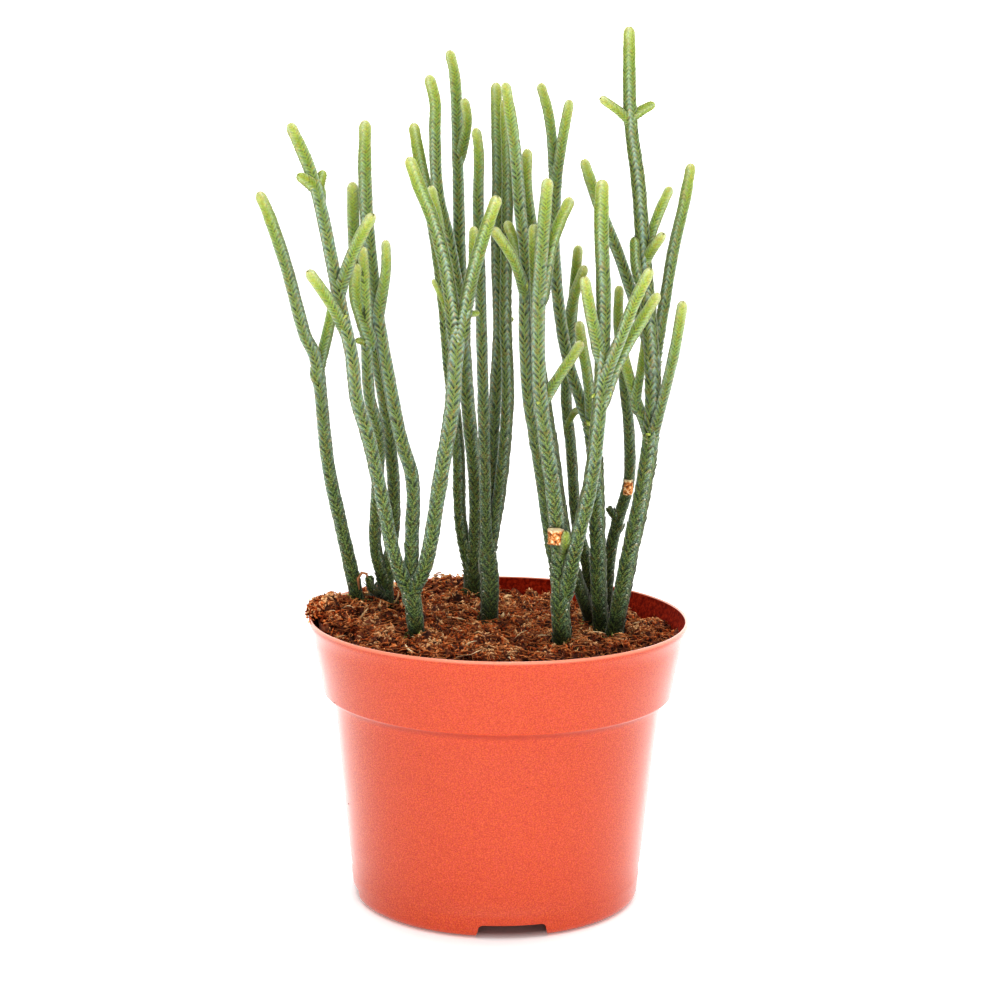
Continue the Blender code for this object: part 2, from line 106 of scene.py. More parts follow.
# Each plant's tone, from 0 for dark olive to 1 for pale sage, and its shoots, trunk first. The
# tone is partly the plant's own colour and partly painted shade, darker for plants behind others.
# A shoot is its radius at the foot and near the tip, then the points that it passes through, as
# in the CAD model.
PLANTS = {
    "stem_far_left": (0.9, (
        (2.5, 1.75, ((-46, 17, 91), (-47, 17, 97), (-51, 15, 116), (-55, 12, 137), (-58, 8, 168),
                     (-62, 6, 179), (-67, 3, 199), (-72, 0, 215), (-75, -1, 222))),
        (1.9, 1.6, ((-58, 8, 166), (-56, 12, 174), (-54, 16, 184), (-53, 17, 190))),
    )),
    "stem_front_left": (0.9, (
        (2.8, 2.6, ((-25, -20, 87), (-26, -20, 96), (-27, -19, 105))),
        (2.4, 1.8, ((-27, -19, 101), (-32, -21, 113), (-36, -20, 131), (-40, -18, 148),
                    (-44, -17, 161), (-45.5, -17, 174), (-49, -15, 189), (-55, -11, 217), (-59, -8, 230),
                    (-65, -6, 243))),
        (1.6, 1.5, ((-56, -9, 223), (-59, -10, 226), (-62, -11, 228))),
        (1.3, 1.1, ((-56, -9, 224), (-55, -7, 229))),
        (1.9, 1.8, ((-49, -14, 195), (-44, -19, 208), (-39, -23, 217))),
        (1.9, 1.6, ((-48, -16, 183), (-52, -20, 191), (-58, -23, 200))),
        (2.4, 1.9, ((-27, -19, 101), (-27, -16, 116), (-27, -12, 135), (-31, -8, 148),
                    (-35, -4, 166), (-39, 0, 187), (-42, 3, 211), (-43, 5, 228), (-43, 6, 244))),
        (1.8, 1.5, ((-38, -1, 188), (-36, -3, 199), (-36, -4, 208))),
        (2.4, 2.3, ((-27, -19, 101), (-22, -21, 113), (-18, -22, 139), (-15, -20, 158),
                    (-14, -18, 174), (-13, -17, 186))),
        (2.2, 1.7, ((-14, -17, 181), (-17, -21, 201), (-21, -25, 216), (-25, -28, 226), (-28, -29, 234))),
        (1.8, 1.5, ((-14, -16, 185), (-18, -13, 205), (-20, -12, 216), (-22, -12, 225))),
        (2.2, 1.7, ((-13, -17, 179), (-10, -20, 196), (-6, -25, 211), (-2, -29, 223))),
        (1.7, 1.5, ((-11, -18, 189), (-9, -15, 201), (-9, -13, 213))),
        (0.9, 0.8, ((-16, -17, 187), (-19, -15, 193), (-21, -14, 197))),
        (1.1, 0.9, ((-14, -17, 185), (-11, -16, 187), (-7.5, -14.5, 187.5))),
    )),
    "stem_left_back": (0.9, (
        (2.7, 2.4, ((-37, 22, 90), (-37, 22, 100))),
        (2.2, 1.8, ((-37, 22, 94), (-34, 17, 118), (-35, 13, 141), (-38, 11, 162), (-42, 9, 183),
                    (-46, 8, 200), (-47, 8, 225))),
        (2.1, 1.7, ((-37, 22, 94), (-40, 15, 110), (-39, 7, 129), (-38, 0, 147), (-41, -5, 162),
                    (-42, -5, 188), (-43, -6, 206))),
        (1.8, 1.7, ((-41, -5, 178), (-45, -6, 190), (-45, -7, 201))),
        (1.9, 1.6, ((-38, 20, 92), (-41, 16, 95), (-42, 14, 99))),
        (0.9, 0.8, ((-42, -5, 176), (-43, -6.5, 177.5), (-44.5, -8, 178))),
    )),
    "stem_back_centre": (0.95, (
        (3.0, 2.8, ((-9, 40, 87), (-9, 40, 99))),
        (2.1, 1.7, ((-9, 40, 94), (-13, 40, 113), (-14, 38, 138), (-17, 35, 164), (-19.5, 32, 190),
                    (-23, 30, 214), (-27, 29, 232), (-29, 28, 243))),
        (2.3, 2.2, ((-9, 40, 94), (-8, 38, 121), (-10, 35, 144), (-12, 32, 166), (-13, 30, 187))),
        (2.1, 1.7, ((-13, 30, 182), (-17, 26, 205), (-21, 23, 222), (-22, 22, 240), (-22, 21, 250),
                    (-24, 21, 258))),
        (2.2, 1.7, ((-13, 30, 182), (-14, 32, 203), (-15, 34, 232), (-16, 36, 256), (-18, 36, 266))),
        (1.6, 1.5, ((-14, 34, 234), (-12, 31, 244), (-13, 30, 251))),
    )),
    "stem_centre": (0.65, (
        (3.0, 2.9, ((-3, 6, 88), (-3, 8, 100), (-4, 10, 112))),
        (2.1, 1.6, ((-4, 9, 105), (-5, 8, 137), (-6, 9, 166), (-7, 11, 192), (-8, 12, 217),
                    (-8, 13, 234), (-9, 13, 242))),
        (2.2, 1.7, ((-4, 9, 105), (-3, 14, 131), (-2, 18, 157), (-1, 20, 179), (-2, 21, 204),
                    (-2, 21, 229), (-3, 22, 256))),
        (2.2, 1.5, ((-4, 10, 105), (0, 11, 129), (2, 11, 158), (1, 11, 183), (1, 10, 205),
                    (1, 9, 227), (0, 9, 251))),
        (1.0, 0.8, ((-1, 20, 178), (1, 22, 181), (3, 24, 182))),
    )),
    "stem_front_right": (0.9, (
        (3.1, 2.9, ((20, -23, 86), (19, -23, 98), (19, -22, 109))),
        (2.8, 1.8, ((19, -22, 105), (16.5, -21, 131), (12.6, -20, 156), (11, -19, 174), (11, -18, 195),
                    (12, -18, 214), (13, -19, 228))),
        (1.8, 1.6, ((12, -19, 160), (17, -16, 168), (21, -15, 174), (24, -15, 179))),
        (1.8, 1.7, ((12, -18, 194), (15, -15, 210), (20, -12, 222))),
        (2.4, 1.7, ((19, -21, 105), (15.5, -16, 121), (12.2, -12, 141), (8.6, -10, 161), (7, -9, 182),
                    (7, -7, 202), (5, -5, 218), (3, -3, 238), (0, -2, 256))),
        (1.7, 1.6, ((7, -8, 193), (3, -13, 204), (-3, -17, 213))),
        (1.6, 1.5, ((7, -7, 198), (4, -2, 207), (1, 1, 214))),
        (1.8, 1.6, ((7, -8, 193), (9, -2, 209), (7, 2, 224), (7, 4, 236))),
        (2.4, 1.9, ((20, -23, 102), (23, -26, 118), (27, -28, 137), (29, -28, 156), (30, -27, 174),
                    (30, -26, 195), (29, -25, 214), (29, -24, 228))),
        (1.9, 1.7, ((29, -27, 178), (26, -30, 190), (24, -32, 200))),
        (1.9, 1.7, ((30, -27, 168), (35, -31, 182), (39, -35, 194), (43, -38, 203))),
        (1.9, 1.7, ((30, -27, 162), (36, -26, 177), (42, -27, 188), (46, -28, 195))),
        (1.5, 1.5, ((19.5, -23, 116), (20, -26, 119.5), (20, -26.5, 122.5))),
    )),
    "stem_behind_front_right": (0.55, (
        (2.2, 1.6, ((30, 12, 86), (27, 6, 95), (22, -1, 110), (18.5, -6, 128), (16, -8.5, 145),
                    (13.4, -11.5, 160), (11, -12, 176), (10, -12, 196), (9, -13, 214))),
    )),
    "stem_right_middle": (0.85, (
        (2.7, 2.2, ((33, 3, 85), (32, 4, 96), (31, 6, 118), (30, 9, 139), (28, 12, 154))),
        (2.0, 1.9, ((29, 11, 148), (25, 14, 158), (21, 17, 170), (18, 19, 186), (16, 20, 205),
                    (16, 20, 218), (16, 20, 232))),
        (1.8, 1.6, ((16, 20, 227), (14, 21, 245), (11, 22, 256))),
        (1.8, 1.6, ((16, 20, 224), (18, 17, 239), (20, 15, 251))),
        (1.8, 1.6, ((29, 11, 149), (27, 8, 166), (25, 6, 176), (24, 5, 183))),
    )),
    "stem_right_rear": (0.6, (
        (2.0, 1.6, ((30, 36, 85), (29, 35, 100), (25, 33, 117), (23, 31, 139), (21, 30, 157),
                    (22, 29, 175), (23, 29, 191), (24, 29, 205))),
        (1.7, 1.6, ((21, 29, 177), (23, 26, 190), (26, 23, 199))),
        (1.1, 0.9, ((21.5, 30, 147), (24, 27, 152), (26.5, 22, 153))),
    )),
    "stem_right_tall": (0.8, (
        (3.0, 1.7, ((36.5, -4, 85), (38, -3, 94), (41.3, -2, 113), (44.7, -1, 131), (47, 0, 150),
                    (47, 0, 168), (45, -1, 188), (43, -2, 206), (41, -3, 226), (38, -3, 247), (37, -4, 273))),
        (1.4, 1.3, ((38, -3, 245), (35, -4, 248), (29, -6, 252))),
        (1.4, 1.3, ((38.3, -3, 246), (41, -2, 248.3), (45, -1, 250.5))),
        (1.6, 1.5, ((43, -2, 203), (47, 0, 216), (51, 3, 225))),
        (1.5, 1.4, ((44.5, -3, 205), (46.5, -6, 208.5), (48.5, -8, 211.5))),
        (1.6, 1.5, ((45, -1, 191), (41, -4, 200), (40, -5, 210))),
        (1.9, 1.7, ((47, 0, 172), (42, 4, 187), (36, 7, 204), (30, 9, 218), (24.6, 10, 233))),
        (1.9, 1.6, ((47, 0, 170), (50, 5, 187), (53, 8, 206), (56, 10, 220), (58, 11, 232))),
        (1.8, 1.6, ((47, 0, 147), (50, -3, 160), (53, -7, 176), (55, -9, 191))),
        (1.9, 1.6, ((47, 0, 147), (43, 4, 157), (40, 7, 166), (38, 9, 174))),
        (1.5, 1.4, ((42, 4, 158), (44, 7, 170), (45, 8, 179))),
    )),
    "stem_right_cut": (0.4, (
        (2.3, 1.5, ((35, 25, 85), (36, 24, 105), (38.5, 22, 118), (41.5, 20, 131), (41, 19, 148),
                    (39, 19, 164), (37, 20, 181), (37, 21, 193))),
        (1.5, 1.2, ((38.5, 22, 115), (37, 21, 119), (35, 20, 121.5))),
    )),
}

# Old pruning cuts: foot, top and radius of each stub.
CUTS = (
    ((17.3, -24.8, 118.6), (16.9, -26.2, 123.4), 2.5),
    ((41.0, 18.9, 126.4), (41.3, 17.3, 131.5), 1.5),
)

CUT_SIDES, CUT_RINGS = 18, 7

# Straws and splinters that stand out of the soil: foot, reach and radius.
STRAWS = (
    ((-44, -6, 89.0), (3.2, 0, 4.6), 0.34),
    ((-34, 16, 90.0), (1.6, 0, 4.2), 0.34),
    ((-38, 6, 89.5), (0.4, 0, 4.0), 0.30),
    ((-28, -35, 89.0), (2.8, -7, -0.6), 0.42),
    ((-22, -24, 89.2), (2.6, -10, -0.8), 0.36),
    ((-25, -20, 89.0), (-1.5, -6, 0.4), 0.26),
    ((3, -45, 88.0), (0.7, -4, 0.4), 0.22),
    ((5, -23, 88.4), (4.0, 7, 1.0), 0.18),
    ((25, -13, 87.6), (1.0, 0, 2.2), 0.34),
    ((28, -10, 87.4), (0.6, 0, 1.9), 0.30),
    ((38, -8, 87.0), (1.6, -5, 0.2), 0.32),
    ((-8, -43, 88.2), (5.0, 5, 1.3), 0.24),
    ((-21, 50, 89.8), (2.6, 0, 0.5), 0.44),
    ((1, 7, 88.2), (0.6, 2.5, 0.8), 0.62),
    ((2, 37, 88.4), (2.4, -2, 0.2), 0.60),
)

# The curled remains of a dead shoot.
DEAD_SHOOT = (
    (-45, 14, 95), (-45.4, 14, 98.5), (-44.2, 14, 100.6), (-42.6, 14, 100.2), (-42.4, 14, 98.8),
)

DEAD_SHOOT_RADIUS = 0.55

# Fresh leaves in the forks.
LOBES = (
    (27.5, -28.9, 164.6), (32.6, -28.4, 165.2), (-31.6, -10.6, 147.8), (25.5, -15.6, 86.0),
    (35.9, -7.1, 86.2), (11.3, -22.4, 161.5), (7.3, -10.8, 196.0), (-47.4, -18.1, 186.2),
    (45.9, -2.7, 149.4), (27.9, 8.6, 150.8),
)

# Specks of coir that stick to the pot: degrees from the front, and height.
POT_SPECKS = (
    (-28.5, 61.6), (-26.5, 57.6), (-24.5, 46.0), (-72.5, 32.2),
    (-65.0, 67.4), (10.5, 49.2), (15.5, 41.2), (-38.5, 31.8),
)

# A chip is an eight-sided splinter: its corners, its faces, and the range of each half length.
CHIP_CORNERS = np.vstack([np.eye(3), -np.eye(3)])
CHIP_FACES = np.array([
    (0, 1, 2), (1, 3, 2), (3, 4, 2), (4, 0, 2), (1, 0, 5), (3, 1, 5), (4, 3, 5), (0, 4, 5),
])
CHIP_AXES = ((0.5, 1.3), (0.25, 0.6), (0.14, 0.36))
STRAND_STEPS = 5

# Shoots. Each is a little thicker than its table says, because its leaves stand off it. A
# side shoot starts inside its parent and swells into a knot where it comes out, and a short
# one near the soil is stunted: its leaves are as small as on old wood.
ROUTE_STEP = 0.4
FOOT_GAIN, TIP_GAIN, STUNTED_GAIN = 1.06, 1.22, 0.9
TIP_REACH, TIP_DOME, TIP_EDGE = 0.6, 1.15, 1.2
ROOT_DEPTH, BURIED_START = 6.0, 4.0
KNOT_LENGTH, KNOT_GAIN, KNOT_FLARE = 6.0, 0.2, 0.2
SWELL, SWELL_LENGTH, SWELL_GAP = 0.03, 2.3, 7.1
FORK_REACH = 8.5
BUD_LENGTH, BUD_AGE = 14.0, 3.5
STUNTED_HEIGHT, STUNTED_AGE, STUNTED_FLARE = 122.0, 60.0, 0.9
CORE_RADIUS, CORE_SIDES, CORE_STEP = 0.74, 10, 2.0
CORE_FOOT, CORE_FOOT_LENGTH, CORE_END = 0.5, 8.0, 0.4
HIDDEN_RADIUS = 0.72

# Distances from the tip over which the leaves turn green, grow a keel, stand off the stem
# and space out, and heights below which the wood grows old and worn.
GREEN_LENGTH, KEEL_LENGTH, FLARE_LENGTH, SPACING_LENGTH = 14.0, 50.0, 60.0, 85.0
OLD_TOP, OLD_DEPTH, WORN_DEPTH = 178.0, 88.0, 60.0

# Leaves. The spacing is between the leaves of one rank: near the tip, in grown wood and at
# the plant's foot. A leaf's length is in spacings. Its rows run from its foot to its point,
# and its columns from edge to edge; its rise is a share of the clad radius.
YOUNG_SPACING, OLD_SPACING, FOOT_SPACING = 0.92, 2.7, 2.3
FOOT_SPACING_TOP, FOOT_SPACING_DEPTH = 125.0, 30.0
TIP_SPACING, TIP_LENGTH = 0.7, 7.0
FIRST_LEAF, LAST_LEAF = 0.6, 0.25
LEAF_LENGTH = 2.1
LEAF_HALF_ANGLE = math.radians(54)
LEAF_ROWS = np.array([0.0, 0.25, 0.45, 0.65, 0.85, 1.0])
LEAF_WIDTHS = np.array([0.95, 1.0, 0.82, 0.56, 0.27, 0.05])
LEAF_RISE = np.array([0.74, 0.82, 0.90, 0.97, 1.0, 0.985])
LEAF_COLUMNS = np.array([-1.0, -0.55, 0.0, 0.55, 1.0])
LEAF_EDGE_DROP, SMOOTH_RISE = 0.08, 0.935
LONGEST_LEAF = 0.985
KEEL_SWING, KEEL_SWING_GAIN, YOUNG_SWING = 0.05, 0.30, 0.6
FLARE, WORN_FLARE = 0.03, 0.16
INNER_POINT, INNER_RISE = 0.45, 0.70
KEEL_POINT = 3 * len(LEAF_COLUMNS) + len(LEAF_COLUMNS) // 2
LEAF_LAYERS = ("age", "low", "luck", "tone", "along_leaf", "across_leaf", "to_edge", "clear_of")

# The studio, in metres: its floor, and where the floor starts to glow.
FLOOR_HALF_WIDTH, GLOW_START, GLOW_FULL, FLOOR_GLOW = 6.0, 0.040, 0.047, 0.35
CAMERA_DISTANCE = 0.75
CAMERA_LENS = 82.2
CAMERA_RISE, CAMERA_PITCH, CAMERA_ROLL = (math.radians(angle) for angle in (19.79, 10.16, 0.76))


# ---------------------------------------------------------------- helpers


class Nodes:
    """The shader nodes of one material or world, with a short name for each kind."""

    def __init__(self, owner):
        owner.use_nodes = True
        self.owner = owner
        self.tree = owner.node_tree

    def fill(self, socket, value):
        """Sets a socket to a number or a colour, or links an output to it."""
        if isinstance(value, bpy.types.NodeSocket):
            self.tree.links.new(value, socket)
        elif socket.type == "RGBA":
            socket.default_value = (*value, 1.0)
        else:
            socket.default_value = value

    def node(self, kind, inputs=(), **settings):
        """A new node; inputs are (socket, value) pairs."""
        node = self.tree.nodes.new(kind)
        for key, value in settings.items():
            setattr(node, key, value)
        for socket, value in inputs:
            self.fill(node.inputs[socket], value)
        return node

    def ramp(self, source, *stops):
        """A colour ramp: stops are (position, colour) pairs."""
        node = self.node("ShaderNodeValToRGB", [("Fac", source)])
        elements = node.color_ramp.elements
        while len(elements) < len(stops):
            elements.new(0.5)
        for element, (position, colour) in zip(elements, stops):
            element.position = position
            element.color = (*colour, 1.0)
        return node.outputs["Color"]

    def math(self, operation, *values, clamp=False):
        node = self.node("ShaderNodeMath", enumerate(values), operation=operation, use_clamp=clamp)
        return node.outputs[0]

    def times(self, first, second):
        return self.math("MULTIPLY", first, second)

    def scaled(self, source, factor, offset, clamp=False):
        return self.math("MULTIPLY_ADD", source, factor, offset, clamp=clamp)

    def mix(self, factor, first, second, blend="MIX"):
        sockets = (("Factor", factor), (6, first), (7, second))
        return self.node("ShaderNodeMix", sockets, data_type="RGBA", blend_type=blend).outputs[2]

    def tinted(self, colour, tint, factor=1.0):
        return self.mix(factor, colour, tint, "MULTIPLY")

    def position(self):
        return self.node("ShaderNodeTexCoord").outputs["Object"]

    def noise(self, scale, detail=3.0, roughness=0.5):
        sockets = {"Scale": scale, "Detail": detail, "Roughness": roughness, "Vector": self.position()}
        return self.node("ShaderNodeTexNoise", sockets.items()).outputs["Fac"]

    def attribute(self, name):
        return self.node("ShaderNodeAttribute", attribute_name=name).outputs["Fac"]

    def map_range(self, source, first, last, lowest, highest, interpolation="LINEAR"):
        names = ("Value", "From Min", "From Max", "To Min", "To Max")
        sockets = zip(names, (source, first, last, lowest, highest))
        node = self.node("ShaderNodeMapRange", sockets, interpolation_type=interpolation)
        return node.outputs["Result"]

    def finish(self, colour, roughness, height, distance, strength=1.0, others=()):
        """Fills the shader's sockets, with a bump from the height, and gives the material."""
        shader = self.tree.nodes["Principled BSDF"]
        bump = {"Height": height, "Distance": distance, "Strength": strength}
        normal = self.node("ShaderNodeBump", bump.items()).outputs["Normal"]
        sockets = (("Base Color", colour), ("Roughness", roughness), ("Normal", normal))
        for socket, value in (*sockets, *others):
            self.fill(shader.inputs[socket], value)
        return self.owner


def material_nodes(name):
    return Nodes(bpy.data.materials.new(name))


def add_object(name, data):
    thing = bpy.data.objects.new(name, data)
    bpy.context.scene.collection.objects.link(thing)
    return thing


def circle(count):
    """Angles of points evenly round a ring."""
    return np.linspace(0, 2 * math.pi, count, endpoint=False)


def outward(turn, across, over):
    """Unit vectors at an angle between two directions that are square to each other."""
    return np.cos(turn)[..., None] * across + np.sin(turn)[..., None] * over


def ring_faces(rings, sides):
    """Quads between rings of points, and fans that close both ends round two more points."""
    here = np.arange(sides)
    after = (here + 1) % sides
    starts = sides * np.arange(rings - 1)[:, None]
    quads = np.stack([starts + here, starts + after, starts + sides + after, starts + sides + here], axis=-1)
    first = np.full(sides, rings * sides)
    top = sides * (rings - 1)
    fans = np.vstack([
        np.column_stack([first, after, here]),
        np.column_stack([first + 1, top + here, top + after]),
    ])
    return quads.reshape(-1, 4), fans


class Parts:
    """A mesh gathered part by part: points about the pot's axis, faces, slots and layers."""

    def __init__(self):
        self.points, self.quads, self.triangles = [], [], []
        self.quad_slots, self.triangle_slots = [], []
        self.layers = {}
        self.count = 0

    def add(self, points, quads, triangles, material=0, **layers):
        for faces, gathered, slots in (
            (quads, self.quads, self.quad_slots), (triangles, self.triangles, self.triangle_slots),
        ):
            gathered.append(faces + self.count)
            slots.append(np.full(len(faces), material))
        for key, values in layers.items():
            self.layers.setdefault(key, []).append(np.broadcast_to(values, len(points)))
        self.points.append(points)
        self.count += len(points)

    def mesh(self, name):
        quads, triangles = np.vstack(self.quads), np.vstack(self.triangles)
        loops = np.concatenate([quads.ravel(), triangles.ravel()])
        totals = np.repeat([4, 3], [len(quads), len(triangles)])
        mesh = bpy.data.meshes.new(name)
        mesh.vertices.add(self.count)
        mesh.vertices.foreach_set("co", (np.vstack(self.points) * MM + POT_AXIS).astype(np.float32).ravel())
        mesh.loops.add(len(loops))
        mesh.loops.foreach_set("vertex_index", loops.astype(np.int32))
        mesh.polygons.add(len(totals))
        mesh.polygons.foreach_set("loop_start", (np.cumsum(totals) - totals).astype(np.int32))
        slots = np.concatenate([*self.quad_slots, *self.triangle_slots])
        mesh.polygons.foreach_set("material_index", slots.astype(np.int32))
        for key, values in self.layers.items():
            layer = mesh.attributes.new(key, "FLOAT", "POINT")
            layer.data.foreach_set("value", np.concatenate(values).astype(np.float32))
        mesh.update(calc_edges=True)
        mesh.validate()
        return mesh


def add_piece(mesh, materials, replaces=()):
    piece = add_object(mesh.name, mesh)
    for material in materials:
        mesh.materials.append(material)
    mesh.shade_smooth()
    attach(piece, BODY)
    for node in replaces:
        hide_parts(node)
    return piece


NO_QUADS = np.empty((0, 4), int)


# ---------------------------------------------------------------- the plants


def smooth_route(points):
    """Even samples of a Catmull-Rom curve through the points, and how far along each lies."""
    knots = np.array(points, float)
    padded = np.vstack([2 * knots[0] - knots[1], knots, 2 * knots[-1] - knots[-2]])
    t = np.linspace(0, 1, 60, endpoint=False)[:, None]
    spans = []
    for p0, p1, p2, p3 in zip(padded, padded[1:], padded[2:], padded[3:]):
        curve = 2 * p1 + (p2 - p0) * t + (2 * p0 - 5 * p1 + 4 * p2 - p3) * t**2
        curve += (3 * p1 - p0 - 3 * p2 + p3) * t**3
        spans.append(curve / 2)
    dense = np.vstack([*spans, knots[-1:]])
    lengths = np.concatenate([[0], np.cumsum(np.linalg.norm(np.diff(dense, axis=0), axis=1))])
    even = np.linspace(0, lengths[-1], max(4, round(lengths[-1] / ROUTE_STEP)) + 1)
    return np.column_stack([np.interp(even, lengths, dense[:, i]) for i in range(3)]), even


def carry_frames(route):
    """Two directions square to the route, carried along it without needless turning."""
    tangents = np.gradient(route, axis=0)
    tangents /= np.linalg.norm(tangents, axis=1)[:, None]
    side = np.cross(tangents[0], (0.0, 1.0, 0.0))
    if np.linalg.norm(side) < 0.2:
        side = np.cross(tangents[0], (1.0, 0.0, 0.0))
    normals = np.empty_like(route)
    for i, tangent in enumerate(tangents):
        side = side - tangent * np.dot(side, tangent)
        side /= np.linalg.norm(side)
        normals[i] = side
    return normals, np.cross(tangents, normals)


def place_in_parent(point, elders):
    """A place on the parent's centre line, a little below where a side shoot leaves it."""
    parent = min(elders, key=lambda elder: np.linalg.norm(elder.route - point, axis=1).min())
    nearest = np.linalg.norm(parent.route - point, axis=1).argmin()
    return parent.at(parent.lengths[nearest] - BURIED_START)[0]


class Shoot:
    """One shoot's centre line, thickness and age."""

    def __init__(self, foot_radius, tip_radius, points, elders):
        points = [np.array(point, float) for point in points]
        ending = points[-1] - points[-2]
        points[-1] = points[-1] + ending / np.linalg.norm(ending) * TIP_REACH
        if elders:
            points.insert(0, place_in_parent(points[0], elders))
        else:
            down = points[0] - points[1]
            points.insert(0, points[0] + down / np.linalg.norm(down) * ROOT_DEPTH)
        self.route, self.lengths = smooth_route(points)
        self.total = self.lengths[-1]
        self.normals, self.binormals = carry_frames(self.route)
        self.is_trunk = not elders
        self.stunted = bool(elders) and points[-1][2] < STUNTED_HEIGHT
        self.beyond = STUNTED_AGE if self.stunted else 0.0
        self.foot_radius = foot_radius * (STUNTED_GAIN if self.stunted else FOOT_GAIN)
        self.tip_radius = tip_radius * (STUNTED_GAIN if self.stunted else TIP_GAIN)
        self.turn = math.pi / 4 + random.normal(0, 0.22)
        self.twist = random.uniform(-0.004, 0.004)
        self.sheath = random.uniform(5.0, 9.0)
        self.sheath_step = random.uniform(0.02, 0.10)
        self.swell_phase = random.uniform(0, 6.3)

    def knot(self, along):
        """1 where a side shoot comes out of its parent, and 0 well away from there."""
        return np.exp(-(((along - BURIED_START) / KNOT_LENGTH) ** 2))

    def radius(self, along):
        """The clad radius: swellings of growth, and a tip that is thinner than its sheath."""
        share = np.clip(along / self.total, 0, 1)
        radius = self.foot_radius + (self.tip_radius - self.foot_radius) * share
        swell = np.sin(along / SWELL_LENGTH + self.swell_phase) * np.sin(along / SWELL_GAP)
        radius = radius * (1 + SWELL * swell)
        if not self.is_trunk:
            radius = radius * (1 + KNOT_GAIN * self.knot(along))
        from_tip = self.total - along
        young = np.clip((self.sheath - from_tip) / TIP_EDGE, 0, 1)
        radius = radius * (1 - self.sheath_step * young)
        inward = np.clip(1 - from_tip / (TIP_DOME * self.tip_radius), 0, 1)
        return radius * np.sqrt(np.clip(1 - inward**2, 0.0, 1.0))

    def at(self, along):
        """The centre line and the two directions across it."""
        along = np.clip(along, 0, self.total)
        return tuple(
            np.stack([np.interp(along, self.lengths, axis[:, i]) for i in range(3)], axis=-1)
            for axis in (self.route, self.normals, self.binormals)
        )

    def ripeness(self, along, length):
        """0 at the soft tip, and towards 1 further back than the given length."""
        return 1 - np.exp(-(self.total + self.beyond - along) / length)


def carry_on(shoots):
    """A shoot that ends in a fork is as old as the longest shoot that goes on from there."""
    for shoot in reversed(shoots):
        if shoot.total < BUD_LENGTH:
            shoot.beyond = max(shoot.beyond, BUD_AGE)
            continue
        for other in shoots:
            if other is shoot or np.linalg.norm(other.at(BURIED_START)[0] - shoot.route[-1]) > FORK_REACH:
                continue
            shoot.beyond = max(shoot.beyond, other.total + other.beyond)


def low_down(height, depth):
    """0 from OLD_TOP up, and 1 where the height is the given depth below it."""
    return np.clip((OLD_TOP - height) / depth, 0, 1)


def leaf_places(shoot):
    """Where each leaf sits: distance along the shoot, angle round it, and spacing in its rank."""
    along, turn = FIRST_LEAF, shoot.turn
    rows = []
    while along < shoot.total - LAST_LEAF:
        spacing = YOUNG_SPACING + (OLD_SPACING - YOUNG_SPACING) * shoot.ripeness(along, SPACING_LENGTH)
        height = np.interp(along, shoot.lengths, shoot.route[:, 2])
        spacing += (FOOT_SPACING - spacing) * np.clip((FOOT_SPACING_TOP - height) / FOOT_SPACING_DEPTH, 0, 1)
        spacing *= TIP_SPACING + (1 - TIP_SPACING) * min(1.0, (shoot.total - along) / TIP_LENGTH)
        for opposite in (0.0, math.pi):
            rows.append((along, turn + opposite + shoot.twist * along, spacing))
        turn += math.pi / 2
        along += spacing / 2
    return np.array(rows)


def leaf_faces():
    """Faces of one leaf: the outer grid, and a fan that closes the inner side."""
    rows, columns = len(LEAF_ROWS), len(LEAF_COLUMNS)
    corners = np.add.outer(columns * np.arange(rows - 1), np.arange(columns - 1)).ravel()
    quads = corners[:, None] + (0, 1, columns + 1, columns)
    rim = np.concatenate([
        np.arange(columns),
        columns * np.arange(2, rows) - 1,
        columns * rows - 1 - np.arange(columns),
        columns * np.arange(rows - 2, 0, -1),
    ])
    return quads, np.column_stack([np.full(len(rim), rows * columns), np.roll(rim, -1), rim])


def leaf_layers():
    """For each point of a leaf: how far it lies from foot to point and from keel to edge, how
    far below the leaf's own edge, and how far above the edge of the leaf that clasps its foot.
    """
    along = np.repeat(LEAF_ROWS, len(LEAF_COLUMNS))
    across = np.abs(np.tile(LEAF_COLUMNS, len(LEAF_ROWS)))
    sideways = across * np.repeat(LEAF_WIDTHS, len(LEAF_COLUMNS))
    edge = np.interp(sideways, LEAF_WIDTHS[:0:-1], LEAF_ROWS[:0:-1])
    return {
        "along_leaf": np.append(along, 0.3),
        "across_leaf": np.append(across, 0.0),
        "to_edge": np.append(edge - along, 0.5),
        "clear_of": np.append(along - edge + 1 / LEAF_LENGTH, 0.5),
    }


def leaf_flare(shoot, along):
    """How far the points of the leaves stand off: more on old, knotted and stunted growth."""
    old = shoot.ripeness(along, FLARE_LENGTH)
    worn = low_down(np.interp(along, shoot.lengths, shoot.route[:, 2]), WORN_DEPTH)
    flare = random.normal(0.0, 0.01 + 0.04 * old) + FLARE * old
    flare += worn * random.uniform(0.0, WORN_FLARE, len(along))
    if not shoot.is_trunk:
        flare += KNOT_FLARE * shoot.knot(along)
        flare += STUNTED_FLARE * shoot.stunted * random.uniform(0.3, 1.2, len(along))
    return flare


